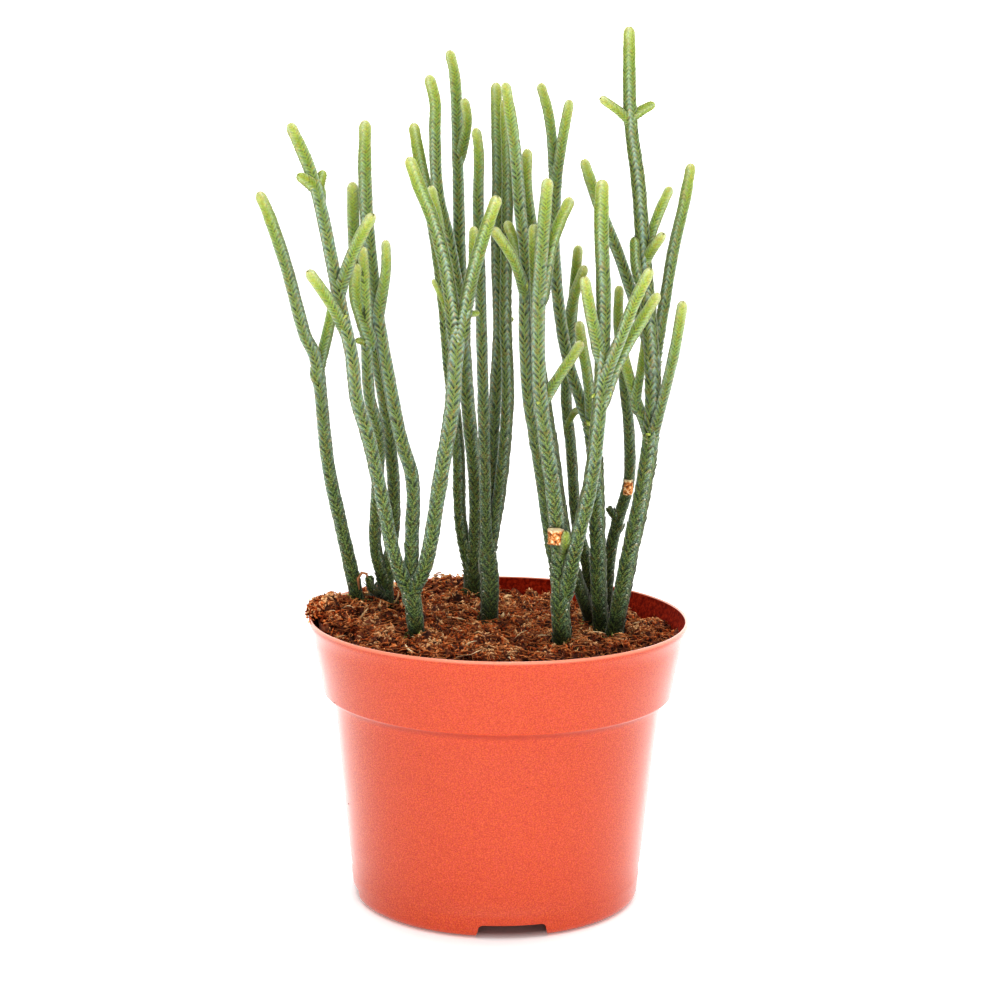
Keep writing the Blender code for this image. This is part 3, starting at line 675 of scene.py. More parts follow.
def leaf_points(shoot, leaves, flare):
    """Points of all leaves of a shoot: leaf, then grid point, then axis."""
    start, angle, spacing = leaves.T
    count = len(leaves)
    rows, columns = LEAF_ROWS[None, :, None], LEAF_COLUMNS[None, None, :]
    length = spacing * LEAF_LENGTH * random.normal(1, 0.07, count)
    length = np.minimum(length, (shoot.total - start) * LONGEST_LEAF)
    width = random.normal(1, 0.05, count)[:, None, None]
    across = LEAF_WIDTHS[None, :, None] * columns * LEAF_HALF_ANGLE * width
    turn = (angle + random.normal(0, 0.035, count))[:, None, None] + across
    along = np.broadcast_to(start[:, None, None] + length[:, None, None] * rows, turn.shape)
    ripe = shoot.ripeness(start, KEEL_LENGTH)[:, None, None]
    sideways = np.abs(columns)
    keel_swing = KEEL_SWING + KEEL_SWING_GAIN * ripe**2
    swing = (keel_swing + (1 - keel_swing) * sideways) * (YOUNG_SWING + (1 - YOUNG_SWING) * ripe)
    rise = SMOOTH_RISE + (LEAF_RISE[None, :, None] - SMOOTH_RISE) * swing
    rise = rise - LEAF_EDGE_DROP * sideways**2 + flare[:, None, None] * rows**4
    centre, normal, binormal = shoot.at(along)
    grid = centre + (shoot.radius(along) * rise)[..., None] * outward(turn, normal, binormal)
    inner = start + length * INNER_POINT
    centre, normal, binormal = shoot.at(inner)
    closing = centre + (shoot.radius(inner) * INNER_RISE)[:, None] * outward(angle, normal, binormal)
    return np.concatenate([grid.reshape(count, -1, 3), closing[:, None]], axis=1)


def outside_others(points, shoot, others):
    """True for each point that isn't buried in another shoot of the plant."""
    keep = np.ones(len(points), bool)
    for other in others:
        if other is shoot:
            continue
        inside = other.radius(other.lengths[::2]) * HIDDEN_RADIUS
        apart = np.linalg.norm(points[:, None] - other.route[::2][None], axis=2)
        keep &= ~(apart < inside[None]).any(axis=1)
    return keep


def add_leaves(parts, shoot, shoots, tone):
    leaves = leaf_places(shoot)
    points = leaf_points(shoot, leaves, leaf_flare(shoot, leaves[:, 0]))
    keep = outside_others(points[:, KEEL_POINT], shoot, shoots)
    points, leaves = points[keep], leaves[keep]
    count, per_leaf, _ = points.shape
    starts = per_leaf * np.arange(count)[:, None, None]
    outer, fan = leaf_faces()
    parts.add(
        points.reshape(-1, 3),
        (outer + starts).reshape(-1, 4),
        (fan + starts).reshape(-1, 3),
        age=np.repeat(shoot.ripeness(leaves[:, 0], GREEN_LENGTH), per_leaf),
        low=low_down(points[..., 2], OLD_DEPTH).ravel(),
        luck=np.repeat(random.uniform(0, 1, count), per_leaf),
        tone=tone,
        **{key: np.tile(values, count) for key, values in leaf_layers().items()},
    )


def add_core(parts, shoot, tone):
    """A plain tube under the leaves, closed at both ends."""
    rings = max(3, round(shoot.total / CORE_STEP))
    along = np.linspace(0, shoot.total - CORE_END * shoot.tip_radius, rings)
    centre, normal, binormal = shoot.at(along)
    radius = shoot.radius(along) * CORE_RADIUS * np.clip(CORE_FOOT + along / CORE_FOOT_LENGTH, 0, 1)
    around = outward(circle(CORE_SIDES), normal[:, None], binormal[:, None])
    tube = (centre[:, None] + radius[:, None, None] * around).reshape(-1, 3)
    points = np.vstack([tube, centre[0], centre[-1]])
    layers = dict.fromkeys(LEAF_LAYERS, 0.5)
    layers["age"] = np.append(np.repeat(shoot.ripeness(along, GREEN_LENGTH), CORE_SIDES), [1.0, 0.0])
    layers["low"] = low_down(points[:, 2], OLD_DEPTH)
    layers["tone"] = tone
    parts.add(points, *ring_faces(rings, CORE_SIDES), material=1, **layers)


def build_plants():
    materials = [leaf_material(), core_material()]
    for node, (tone, table) in PLANTS.items():
        shoots = []
        for row in table:
            shoots.append(Shoot(*row, shoots))
        carry_on(shoots)
        parts = Parts()
        for shoot in shoots:
            add_leaves(parts, shoot, shoots, tone)
            add_core(parts, shoot, tone)
        mesh = parts.mesh(node.replace("stem", "crassula"))
        add_piece(mesh, materials, (node,))
        mesh.set_sharp_from_angle(angle=math.radians(65))


def leaf_green(nodes, age, tone, across, worn):
    """An olive plait between sage flanks on young growth, and dark green on old wood."""
    plait = nodes.ramp(
        age,
        (0.0, (0.56, 0.57, 0.24)), (0.19, (0.40, 0.46, 0.105)), (0.45, (0.27, 0.355, 0.055)),
        (0.66, (0.215, 0.30, 0.058)), (0.84, (0.185, 0.255, 0.066)), (1.0, (0.175, 0.23, 0.066)),
    )
    flank = nodes.ramp(
        age,
        (0.0, (0.67, 0.67, 0.44)), (0.19, (0.49, 0.55, 0.29)), (0.45, (0.38, 0.46, 0.20)),
        (0.66, (0.35, 0.45, 0.24)), (0.84, (0.34, 0.435, 0.30)), (1.0, (0.315, 0.40, 0.315)),
    )
    ridge = nodes.ramp(across, (0.28, WHITE), (0.78, BLACK))
    young = nodes.mix(ridge, plait, flank)
    old = nodes.mix(ridge, (0.072, 0.112, 0.028), (0.098, 0.150, 0.078))
    # Partly painted shade: a low tone darkens the plants that stand behind others.
    deep = nodes.ramp(tone, (0.0, (0.40, 0.39, 0.34)), (1.0, (1.08, 1.06, 1.02)))
    return nodes.tinted(nodes.mix(worn, young, old), deep, nodes.scaled(age, 0.75, 0.25))


def leaf_shadow(nodes, colour, age, across, clear_of, worn):
    """The painted shadow above the edge of the leaf below: faint when young, and broken up."""
    # Painted shadow just above the edge of the leaf below, and a painted highlight nearer the point.
    shadow = nodes.ramp(
        clear_of,
        (0.04, (0.13, 0.16, 0.13)), (0.13, (0.40, 0.43, 0.40)),
        (0.25, (1.02, 1.02, 1.06)), (0.45, (1.50, 1.46, 1.52)),
    )
    sharp = nodes.ramp(across, (0.05, (0.55, 0.55, 0.55)), (0.45, WHITE))
    clear = nodes.ramp(nodes.noise(420.0, 3.0, 0.6), (0.38, (0.50, 0.50, 0.50)), (0.54, WHITE))
    grown = nodes.times(nodes.scaled(age, 0.80, nodes.scaled(worn, -0.26, 0.16)), clear)
    return nodes.tinted(colour, shadow, nodes.times(sharp, grown))


def leaf_speckle(nodes, colour, age, worn, mottle):
    """A soft mottle when young, harsh pale and dark specks when old, and rust and blue flecks."""
    soft = nodes.ramp(mottle, (0.36, (0.86, 0.86, 0.84)), (0.64, (1.14, 1.14, 1.18)))
    harsh = nodes.ramp(
        nodes.noise(2300.0, 2.0, 0.7),
        (0.38, (0.22, 0.27, 0.22)), (0.50, (0.82, 0.86, 0.84)), (0.61, (2.5, 2.45, 2.7)),
    )
    colour = nodes.tinted(colour, nodes.mix(worn, soft, harsh))
    fleck = nodes.ramp(
        nodes.noise(1000.0, 1.0),
        (0.36, (1.42, 0.78, 0.56)), (0.44, WHITE), (0.56, WHITE), (0.66, (0.76, 1.00, 1.22)),
    )
    return nodes.tinted(colour, fleck, nodes.scaled(age, 0.38, 0.15))


def leaf_rims(nodes, colour, age, luck, along, to_edge, worn, mottle):
    """Dry rims, each leaf with its own brown or green, and pale points on worn leaves."""
    margin = nodes.ramp(
        luck,
        (0.0, (0.32, 0.42, 0.14)), (0.55, (0.20, 0.29, 0.09)), (0.86, (0.13, 0.20, 0.07)),
        (0.92, (0.45, 0.20, 0.06)), (1.0, (0.20, 0.07, 0.02)),
    )
    rim = nodes.ramp(to_edge, (0.03, WHITE), (0.10, BLACK))
    broken = nodes.ramp(mottle, (0.42, BLACK), (0.54, WHITE))
    rim = nodes.times(nodes.times(rim, broken), nodes.math("POWER", age, 2.0))
    colour = nodes.mix(nodes.times(rim, 0.55), colour, margin)
    point = nodes.ramp(along, (0.90, BLACK), (0.97, WHITE))
    point = nodes.times(point, nodes.math("MULTIPLY", worn, 1.5, clamp=True))
    return nodes.mix(nodes.times(point, nodes.math("POWER", luck, 2.0)), colour, (0.78, 0.79, 0.70))


def leaf_material():
    """Lime tips, sage flanks with an olive plait between them, and dark speckled old wood."""
    nodes = material_nodes("crassula_leaf")
    age, low, luck, tone, along, across, to_edge, clear_of = map(nodes.attribute, LEAF_LAYERS)
    worn = nodes.times(low, age)
    mottle = nodes.noise(1500.0, 2.0, 0.6)
    colour = leaf_green(nodes, age, tone, across, worn)
    colour = leaf_shadow(nodes, colour, age, across, clear_of, worn)
    colour = leaf_speckle(nodes, colour, age, worn, mottle)
    colour = leaf_rims(nodes, colour, age, luck, along, to_edge, worn, mottle)
    # Painted shade: darker at the feet of the shoots, next to the soil.
    colour = nodes.tinted(colour, nodes.ramp(low, (0.88, WHITE), (1.0, (0.60, 0.64, 0.58))))
    return nodes.finish(colour, 0.55, mottle, 0.0001, others=(
        ("Specular IOR Level", 0.25), ("Sheen Weight", 0.5), ("Sheen Roughness", 0.35),
    ))


def core_material():
    nodes = material_nodes("crassula_core")
    colour = nodes.ramp(
        nodes.attribute("age"),
        (0.0, (0.30, 0.34, 0.06)), (0.4, (0.13, 0.17, 0.05)), (0.9, (0.035, 0.05, 0.018)),
    )
    mottle = nodes.noise(600.0)
    return nodes.finish(nodes.tinted(colour, nodes.math("ADD", mottle, 0.5)), 0.8, mottle, 0.0001)


# ---------------------------------------------------------------- the pot


def arc(centre_radius, centre_z, radius, first, last, steps):
    angles = np.radians(np.linspace(first, last, steps + 1))
    return [(centre_radius + radius * math.cos(a), centre_z + radius * math.sin(a)) for a in angles]


def stretch(first, last, steps):
    """Points between two profile points, without the last."""
    (r0, z0), (r1, z1) = first, last
    return [(r0 + (r1 - r0) * i / steps, z0 + (z1 - z0) * i / steps) for i in range(steps)]


def body_radius(z):
    top_radius = COLLAR_FOOT_RADIUS - COLLAR_STEP
    return BODY_FOOT_RADIUS + (top_radius - BODY_FOOT_RADIUS) * z / COLLAR_FOOT_Z


def on_body(z):
    return body_radius(z), z


def pot_inside():
    """From the middle of the floor up to the lip, as radius and height."""
    floor, shelf = FLOOR_Z + WALL, COLLAR_FOOT_Z + WALL
    corner, collar = body_radius(FLOOR_Z) - WALL, COLLAR_FOOT_RADIUS - WALL
    below_lip = (COLLAR_TOP_RADIUS - WALL, POT_HEIGHT - 5.5)
    return [
        (0.0, floor),
        *arc(corner - 2.0, floor + 2.0, 2.0, -90, -5, 5),
        *stretch((corner, floor + 2.5), (body_radius(COLLAR_FOOT_Z) - WALL, shelf - 0.5), 8),
        *arc(collar - 1.2, shelf + 1.2, 1.2, -90, 0, 4),
        *stretch((collar + 0.1, shelf + 2), below_lip, 4),
        *stretch(below_lip, (RIM_RADIUS - WALL, POT_HEIGHT - WALL / 2 - 0.6), 3),
    ]


def pot_outside():
    """From the lip down over the collar and the body, round the foot and back to the middle."""
    waist = body_radius(COLLAR_FOOT_Z)
    foot_inside = BODY_FOOT_RADIUS - FOOT_WIDTH
    return [
        (RIM_RADIUS - 0.12, POT_HEIGHT - 1.5),
        (RIM_RADIUS - 0.5, POT_HEIGHT - 2.4),
        *stretch((COLLAR_TOP_RADIUS + 0.25, POT_HEIGHT - 4.2), (COLLAR_FOOT_RADIUS, COLLAR_FOOT_Z + 1.4), 8),
        *arc(COLLAR_FOOT_RADIUS - 0.9, COLLAR_FOOT_Z + 0.9, 0.9, 0, -80, 4),
        (waist + 1.9, COLLAR_FOOT_Z - 0.1),
        (waist + 0.9, COLLAR_FOOT_Z - 0.5),
        (waist + 0.3, COLLAR_FOOT_Z - 1.4),
        (waist + 0.05, COLLAR_FOOT_Z - 2.6),
        *stretch((waist - 0.2, COLLAR_FOOT_Z - 4), on_body(RING_Z + 0.8), 10),
        (body_radius(RING_Z) - 0.25, RING_Z),
        *stretch(on_body(RING_Z - 0.8), on_body(FOOT_ROUNDING), 3),
        *arc(body_radius(FOOT_ROUNDING) - FOOT_ROUNDING, FOOT_ROUNDING, FOOT_ROUNDING, 0, -90, 7),
        (foot_inside, 0.0),
        (foot_inside - 0.3, 0.4),
        (foot_inside - 0.6, FLOOR_Z),
        (0.0, FLOOR_Z),
    ]


def turned_object(name, profile, segments):
    mesh = bpy.data.meshes.new(name)
    edges = [(i, i + 1) for i in range(len(profile) - 1)]
    mesh.from_pydata([(r * MM, 0, z * MM) for r, z in profile], edges, [])
    turned = add_object(name, mesh)
    screw = turned.modifiers.new("turn", "SCREW")
    screw.steps = screw.render_steps = segments
    screw.use_merge_vertices = True
    screw.merge_threshold = 0.000001
    return turned


def shaped_object(name, build):
    """An object from mesh operations."""
    shape = bmesh.new()
    build(shape)
    mesh = bpy.data.meshes.new(name)
    shape.to_mesh(mesh)
    shape.free()
    return add_object(name, mesh)


def notch_shape(shape):
    """A block with rounded upper corners."""
    bmesh.ops.create_cube(shape, size=1.0)
    size = Vector((NOTCH_WIDTH, FOOT_WIDTH * 3, NOTCH_HEIGHT * 2)) * MM
    bmesh.ops.scale(shape, vec=size, verts=shape.verts)
    inward = [e for e in shape.edges if abs(e.verts[0].co.y - e.verts[1].co.y) > FOOT_WIDTH * MM]
    top = [e for e in inward if e.verts[0].co.z > 0]
    bmesh.ops.bevel(shape, geom=top, offset=NOTCH_ROUNDING * MM, segments=5, affect="EDGES", profile=0.5)
    for vertex in shape.verts:
        if vertex.co.z < 0:
            vertex.co.x *= NOTCH_SPLAY


def drain_shape(shape):
    radius = DRAIN_RADIUS * MM
    bmesh.ops.create_cone(
        shape, cap_ends=True, segments=32, radius1=radius, radius2=radius, depth=DRAIN_DEPTH * MM
    )


def cut_out(pot, name, build, location, angle=0.0):
    """Takes a shape out of the pot, and gives the helper that does it."""
    tool = shaped_object(name, build)
    tool.location = Vector(location) * MM
    tool.rotation_euler = (0, 0, angle)
    cut = pot.modifiers.new(name, "BOOLEAN")
    cut.operation = "DIFFERENCE"
    cut.object = tool
    return tool


def face_the_soil(mesh):
    """The second material goes on the faces that look inwards above the pot's floor."""
    for face in mesh.polygons:
        out = face.center - Vector(POT_AXIS)
        inner = face.normal.x * out.x + face.normal.y * out.y < 0
        below_lip = FLOOR_Z + 0.5 < face.center.z / MM < POT_HEIGHT - 0.4
        face.material_index = int(inner and below_lip)


def build_pot():
    lip = arc(RIM_RADIUS - WALL / 2, POT_HEIGHT - WALL / 2, WALL / 2, 180, 0, 8)
    pot = turned_object("turned_pot", pot_inside() + lip + pot_outside(), POT_SEGMENTS)
    helpers = [pot]
    for i in range(NOTCHES):
        angle = math.radians(NOTCH_FIRST_ANGLE + 360 * i / NOTCHES)
        out = np.array([math.sin(angle), -math.cos(angle), 0])
        notch_at = out * (BODY_FOOT_RADIUS - FOOT_WIDTH / 2)
        helpers.append(cut_out(pot, f"notch_{i}", notch_shape, notch_at, angle))
        helpers.append(cut_out(pot, f"drain_{i}", drain_shape, out * DRAIN_CIRCLE + (0, 0, FLOOR_Z)))
    graph = bpy.context.evaluated_depsgraph_get()
    mesh = bpy.data.meshes.new_from_object(pot.evaluated_get(graph))
    for helper in helpers:
        bpy.data.objects.remove(helper, do_unlink=True)
    mesh.name = "nursery_pot"
    mesh.materials.clear()
    mesh.transform(Matrix.Translation(POT_AXIS))
    add_piece(mesh, [pot_material(), pot_inside_material()], ("pot",))
    face_the_soil(mesh)
    mesh.set_sharp_from_angle(angle=math.radians(38))


def pot_material():
    """Satin moulded plastic: a fine grain, faint flow marks, a painted highlight along the lip and painted
    shade in the crease under the collar.
    """
    nodes = material_nodes("terracotta_plastic")
    grain, cloud = nodes.noise(2600.0, 3.0, 0.7), nodes.noise(28.0)
    base = nodes.ramp(
        grain, (0.38, (0.40, 0.032, 0.003)), (0.50, (0.50, 0.060, 0.008)), (0.62, (0.60, 0.102, 0.018)),
    )
    tint = nodes.ramp(
        nodes.noise(3300.0, 2.0, 0.7), (0.38, (1.0, 1.18, 0.3)), (0.50, WHITE), (0.62, (1.0, 0.84, 3.2)),
    )
    base = nodes.mix(nodes.times(cloud, 0.2), nodes.tinted(base, tint), (0.53, 0.058, 0.017))
    z = nodes.node("ShaderNodeSeparateXYZ", [(0, nodes.position())]).outputs["Z"]
    # Painted highlight: the lip is coloured paler where it would catch the light.
    lip = nodes.map_range(z, (POT_HEIGHT - 1.1) * MM, (POT_HEIGHT - 0.3) * MM, 0.0, 0.75)
    base = nodes.mix(lip, base, (0.84, 0.34, 0.22))
    # Painted shade: darker in the crease just under the collar, where the collar shades the body.
    away = nodes.math("ABSOLUTE", nodes.math("SUBTRACT", z, (COLLAR_FOOT_Z - 1.2) * MM))
    crease_shade = nodes.scaled(away, -1 / (1.5 * MM), 1.0, clamp=True)
    base = nodes.mix(nodes.times(crease_shade, 0.6), base, (0.30, 0.020, 0.006))
    rough = nodes.ramp(cloud, (0.3, (0.28, 0.28, 0.28)), (0.7, (0.36, 0.36, 0.36)))
    return nodes.finish(base, rough, grain, 0.00003, 0.6, (
        ("IOR", 1.5), ("Specular IOR Level", 0.15), ("Coat Weight", 1.0), ("Coat Roughness", 0.22),
    ))


def pot_inside_material():
    """The same plastic inside the rim: duller and mottled, and painted darker for the shade inside the pot.
    """
    nodes = material_nodes("terracotta_inside")
    inside_mottle = nodes.noise(900.0, 4.0, 0.7)
    # Painted shade: the inside wall is coloured much darker than the outside.
    base = nodes.ramp(
        inside_mottle, (0.38, (0.20, 0.008, 0.002)), (0.5, (0.38, 0.022, 0.004)), (0.64, (0.55, 0.055, 0.014)),
    )
    return nodes.finish(base, 0.6, inside_mottle, 0.00005, 0.6, [("Specular IOR Level", 0.04)])


# ---------------------------------------------------------------- the soil


def soil_height(x, y):
    height = np.full_like(x, SOIL_LEVEL)
    for mound_x, mound_y, spread, rise in SOIL_MOUNDS:
        height += rise * np.exp(-(((x - mound_x) ** 2 + (y - mound_y) ** 2) / spread**2))
    height += LUMP_HEIGHT * np.sin(0.43 * x + 1.1) * np.cos(0.37 * y - 0.4)
    height += 0.5 * LUMP_HEIGHT * np.sin(0.91 * y + 0.31 * x) * np.cos(0.83 * x - 0.2)
    return height


def crumbly(x, y, scale, depth):
    places = zip(x.ravel() * scale, y.ravel() * scale)
    values = [noise.fractal(Vector((a, b, 3.7)), 0.6, 2.1, 4) for a, b in places]
    return depth * np.array(values).reshape(x.shape)


def soil_relief(x, y):
    """Clods and hollows on top of the surface of the CAD model, and a gap along the front wall."""
    radius = np.hypot(x, y)
    towards_gap = np.clip((math.sin(GAP_ANGLE) * y + math.cos(GAP_ANGLE) * x) / radius, 0, 1)
    gap = GAP_DEPTH * np.clip((radius - GAP_START) / GAP_WIDTH, 0, 1) * towards_gap**3
    return crumbly(x, y, *CLODS) + crumbly(x, y, *CRUMBS) - gap


def build_soil():
    """The plug of soil: a rough top, and plain sides that fill the pot."""
    turn = circle(BED_SEGMENTS)
    wall = COLLAR_TOP_RADIUS - WALL - 0.4
    radii = wall * (np.arange(1, BED_RINGS + 1)[:, None] / BED_RINGS) ** 0.85
    x, y = radii * np.cos(turn), radii * np.sin(turn)
    z = soil_height(x, y) + soil_relief(x, y)
    over_the_lip = (z > POT_HEIGHT - 1) & (radii > wall - 2)
    z = np.where(over_the_lip, POT_HEIGHT - 1, z)
    floor = FLOOR_Z + WALL + 0.3
    sides = np.array([
        (COLLAR_FOOT_RADIUS - WALL - 0.3, COLLAR_FOOT_Z + WALL + 1.2),
        (body_radius(COLLAR_FOOT_Z) - WALL - 0.4, COLLAR_FOOT_Z + WALL + 0.4),
        (body_radius(floor) - WALL - 2.2, floor + 0.3),
        (body_radius(floor) - WALL - 3.5, floor),
    ])
    radius, height = sides[:, :1], np.tile(sides[:, 1:], BED_SEGMENTS)
    middle = soil_height(np.zeros(1), np.zeros(1))[0]
    points = np.vstack([
        np.stack([x, y, z], axis=-1).reshape(-1, 3),
        np.stack([radius * np.cos(turn), radius * np.sin(turn), height], axis=-1).reshape(-1, 3),
        (0, 0, middle),
        (0, 0, floor),
    ])
    quads, fans = ring_faces(BED_RINGS + len(sides), BED_SEGMENTS)
    parts = Parts()
    parts.add(points, quads[:, ::-1], fans[:, ::-1])
    add_piece(parts.mesh("coir_bed"), [bed_material()], ("soil",))


def surface_points(count, lowest, highest, margin=3.6):
    """Random places on the soil, and how high each one lies in its hollow or on its clod."""
    radius = (RIM_RADIUS - margin) * np.sqrt(random.uniform(0, 1, count))
    turn = random.uniform(0, 2 * math.pi, count)
    x, y = radius * np.cos(turn), radius * np.sin(turn)
    relief = soil_relief(x, y)
    z = soil_height(x, y) + relief + random.uniform(lowest, highest, count)
    return np.column_stack([x, y, z]), relief


def spill_points(count):
    """A heap on the rim at the left, thickest at its middle."""
    turn = random.normal(0, SPILL_SCATTER, count)
    radius = random.uniform(SPILL_INNER, RIM_RADIUS + 0.7, count)
    crest = SPILL_HEIGHT * np.exp(-((turn / SPILL_SPREAD) ** 2))
    crest *= 1 - ((radius - SPILL_MIDDLE) / SPILL_REACH) ** 2
    z = POT_HEIGHT - 0.1 + random.uniform(0, 1, count) * crest
    angle = SPILL_ANGLE + turn
    return np.column_stack([radius * np.cos(angle), radius * np.sin(angle), z])


def speck_points():
    """Places on the outside of the pot."""
    turn, height = np.array(POT_SPECKS).T
    turn = np.radians(turn)
    radius = np.where(height > COLLAR_FOOT_Z, COLLAR_FOOT_RADIUS, body_radius(height)) + 0.1
    return np.column_stack([radius * np.sin(turn), -radius * np.cos(turn), height])


def foot_points(per_plant):
    """Places on the soil close round the foot of every plant."""
    places = []
    for _, table in PLANTS.values():
        foot_radius, _, route = table[0]
        turn = random.uniform(0, 2 * math.pi, per_plant)
        apart = foot_radius + random.exponential(1.3, per_plant)
        x, y = route[0][0] + apart * np.cos(turn), route[0][1] + apart * np.sin(turn)
        lift = random.uniform(0.1, 1.8, per_plant) * np.exp(foot_radius - apart)
        places.append(np.column_stack([x, y, soil_height(x, y) + soil_relief(x, y) + lift]))
    return np.vstack(places)


def random_turns(count):
    """Random rotation matrices."""
    q = random.normal(0, 1, (count, 4))
    q /= np.linalg.norm(q, axis=1)[:, None]
    w, x, y, z = q.T
    return np.stack([
        np.stack([1 - 2 * (y * y + z * z), 2 * (x * y - z * w), 2 * (x * z + y * w)], axis=-1),
        np.stack([2 * (x * y + z * w), 1 - 2 * (x * x + z * z), 2 * (y * z - x * w)], axis=-1),
        np.stack([2 * (x * z - y * w), 2 * (y * z + x * w), 1 - 2 * (x * x + y * y)], axis=-1),
    ], axis=1)


def build_chips(name, places, lift, size, material):
    """Flat angular chips, each with its own proportions and lie."""
    count, corners = len(places), len(CHIP_CORNERS)
    axes = np.stack([random.uniform(low, high, count) for low, high in CHIP_AXES], axis=1)
    local = CHIP_CORNERS * axes[:, None] * size * random.uniform(0.7, 1.3, (count, corners, 1))
    local += random.normal(0, 0.12 * size, (count, corners, 3)) * axes[:, None]
    points = np.einsum("nij,nkj->nki", random_turns(count), local) + places[:, None]
    starts = corners * np.arange(count)[:, None, None]
    parts = Parts()
    parts.add(
        points.reshape(-1, 3),
        NO_QUADS,
        (CHIP_FACES + starts).reshape(-1, 3),
        luck=np.repeat(random.uniform(0, 1, count), corners),
        lift=np.repeat(np.broadcast_to(lift, count), corners),
    )
    add_piece(parts.mesh(name), [material])


def loose_lines(places, lengths, bend, rise):
    """Curved lines that lie on the soil or lift off it at one end."""
    count = len(places)
    heading = random.uniform(0, 2 * math.pi, count)
    curl = random.normal(0, bend, count)
    t = np.linspace(0, 1, STRAND_STEPS)
    angle = heading[:, None] + curl[:, None] * (t - 0.5) * 2.5
    step = (lengths / (STRAND_STEPS - 1))[:, None]
    x = np.cumsum(np.cos(angle) * step, axis=1)
    y = np.cumsum(np.sin(angle) * step, axis=1)
    highest = (random.uniform(-0.1, rise, count) * lengths)[:, None]
    z = highest * np.sin(math.pi * t * random.uniform(0.4, 1.1, (count, 1)))
    line = np.stack([x - x.mean(axis=1, keepdims=True), y - y.mean(axis=1, keepdims=True), z], axis=-1)
    return line + places[:, None]


def straw_lines():
    """The straws of the table, each bowed a little to one side."""
    feet, reaches, _ = (np.array(column, float) for column in zip(*STRAWS))
    t = np.linspace(0, 1, STRAND_STEPS)[:, None]
    bow = random.normal(0, 0.35, (len(feet), 1, 3)) * np.sin(math.pi * t)
    return feet[:, None] + reaches[:, None] * t + bow


def build_strands(name, lines, thickness, material, sides=3):
    """Thin closed tubes along the lines."""
    count, steps, _ = lines.shape
    tangent = np.gradient(lines, axis=1)
    tangent /= np.linalg.norm(tangent, axis=2)[..., None]
    side = np.cross(tangent, (0.13, 0.31, 0.94))
    side /= np.linalg.norm(side, axis=2)[..., None] + 1e-9
    upper = np.cross(side, tangent)
    taper = np.interp(np.linspace(0, 1, steps), [0, 0.25, 0.75, 1.0], [0.5, 1.0, 0.85, 0.3])
    ring = outward(circle(sides), side[:, :, None], upper[:, :, None])
    points = lines[:, :, None] + ring * (thickness[:, None] * taper)[..., None, None]
    quads, _ = ring_faces(steps, sides)
    last = sides * (steps - 1)
    caps = [(0, k, k + 1) for k in range(1, sides - 1)]
    caps += [(last, last + k + 1, last + k) for k in range(1, sides - 1)]
    starts = steps * sides * np.arange(count)[:, None, None]
    parts = Parts()
    parts.add(
        points.reshape(-1, 3),
        (quads[:, ::-1] + starts).reshape(-1, 4),
        (np.array(caps) + starts).reshape(-1, 3),
        luck=np.repeat(random.uniform(0, 1, count), steps * sides),
    )
    add_piece(parts.mesh(name), [material])


def bed_material():
    """Damp coir under the loose chips."""
    nodes = material_nodes("coir_dark")
    coarse = nodes.noise(420.0, 5.0, 0.7)
    colour = nodes.ramp(
        coarse, (0.36, (0.030, 0.006, 0.003)), (0.5, (0.13, 0.030, 0.010)), (0.64, (0.36, 0.105, 0.038)),
    )
    return nodes.finish(colour, 0.9, coarse, 0.0006, 0.9)


def chip_material():
    """Coir chips, with painted shade by how high each lies: nearly black in the hollows, orange to straw on
    the clods.
    """
    nodes = material_nodes("coir_chip")
    grain = nodes.noise(900.0, 3.0, 0.7)
    source = nodes.scaled(nodes.attribute("luck"), 0.50, nodes.times(grain, 0.5))
    # Painted shade: the lower a chip lies in its hollow or in the gap along the wall, the darker it is.
    source = nodes.scaled(nodes.attribute("lift"), 0.85, nodes.math("SUBTRACT", source, 0.42))
    colour = nodes.ramp(
        source,
        (0.18, (0.034, 0.006, 0.002)), (0.40, (0.23, 0.040, 0.009)), (0.60, (0.60, 0.135, 0.034)),
        (0.82, (0.86, 0.30, 0.090)), (1.0, (0.93, 0.60, 0.32)),
    )
    return nodes.finish(colour, 0.8, grain, 0.0003, 0.7, [("Specular IOR Level", 0.1)])


def fibre_material(name, dark, light):
    nodes = material_nodes(name)
    streak = nodes.noise(700.0, 2.0)
    source = nodes.scaled(nodes.attribute("luck"), 0.7, nodes.math("SUBTRACT", streak, 0.2))
    colour = nodes.ramp(source, (0.2, dark), (0.9, light))
    return nodes.finish(colour, 0.7, streak, 0.0001, 0.5, [("Specular IOR Level", 0.15)])


def dress_soil():
    """The bed, and on it the chips, fibres and straws, with coir on the rim and on the pot."""
    chip = chip_material()
    fibre = fibre_material("coir_fibre", (0.17, 0.034, 0.008), (0.80, 0.33, 0.12))
    straw = fibre_material("straw", (0.62, 0.40, 0.19), (0.92, 0.76, 0.50))
    build_soil()
    places, relief = surface_points(CHIPS, -0.5, 0.8)
    # How high each chip lies sets its painted shade.
    build_chips("coir_chips", places, 0.5 + relief / 2.6, 0.98, chip)
    build_chips("coir_spill", spill_points(SPILL), random.uniform(0.3, 1.0, SPILL), 1.0, chip)
    build_chips("coir_specks", speck_points(), 0.0, 0.45, chip)
    places, _ = surface_points(FIBRES, -0.2, 1.0, margin=5.8)
    lines = loose_lines(places, random.uniform(1.6, 6.0, FIBRES), 0.7, 0.26)
    build_strands("coir_fibres", lines, random.uniform(0.10, 0.26, FIBRES), fibre)
    places, _ = surface_points(LOOSE_STRAWS, 0.6, 1.5)
    lines = np.vstack([loose_lines(places, random.uniform(3, 8, LOOSE_STRAWS), 0.2, 0.3), straw_lines()])
    radii = np.append(random.uniform(0.14, 0.3, LOOSE_STRAWS), [radius for *_, radius in STRAWS])
    build_strands("straws", lines, radii, straw, sides=4)


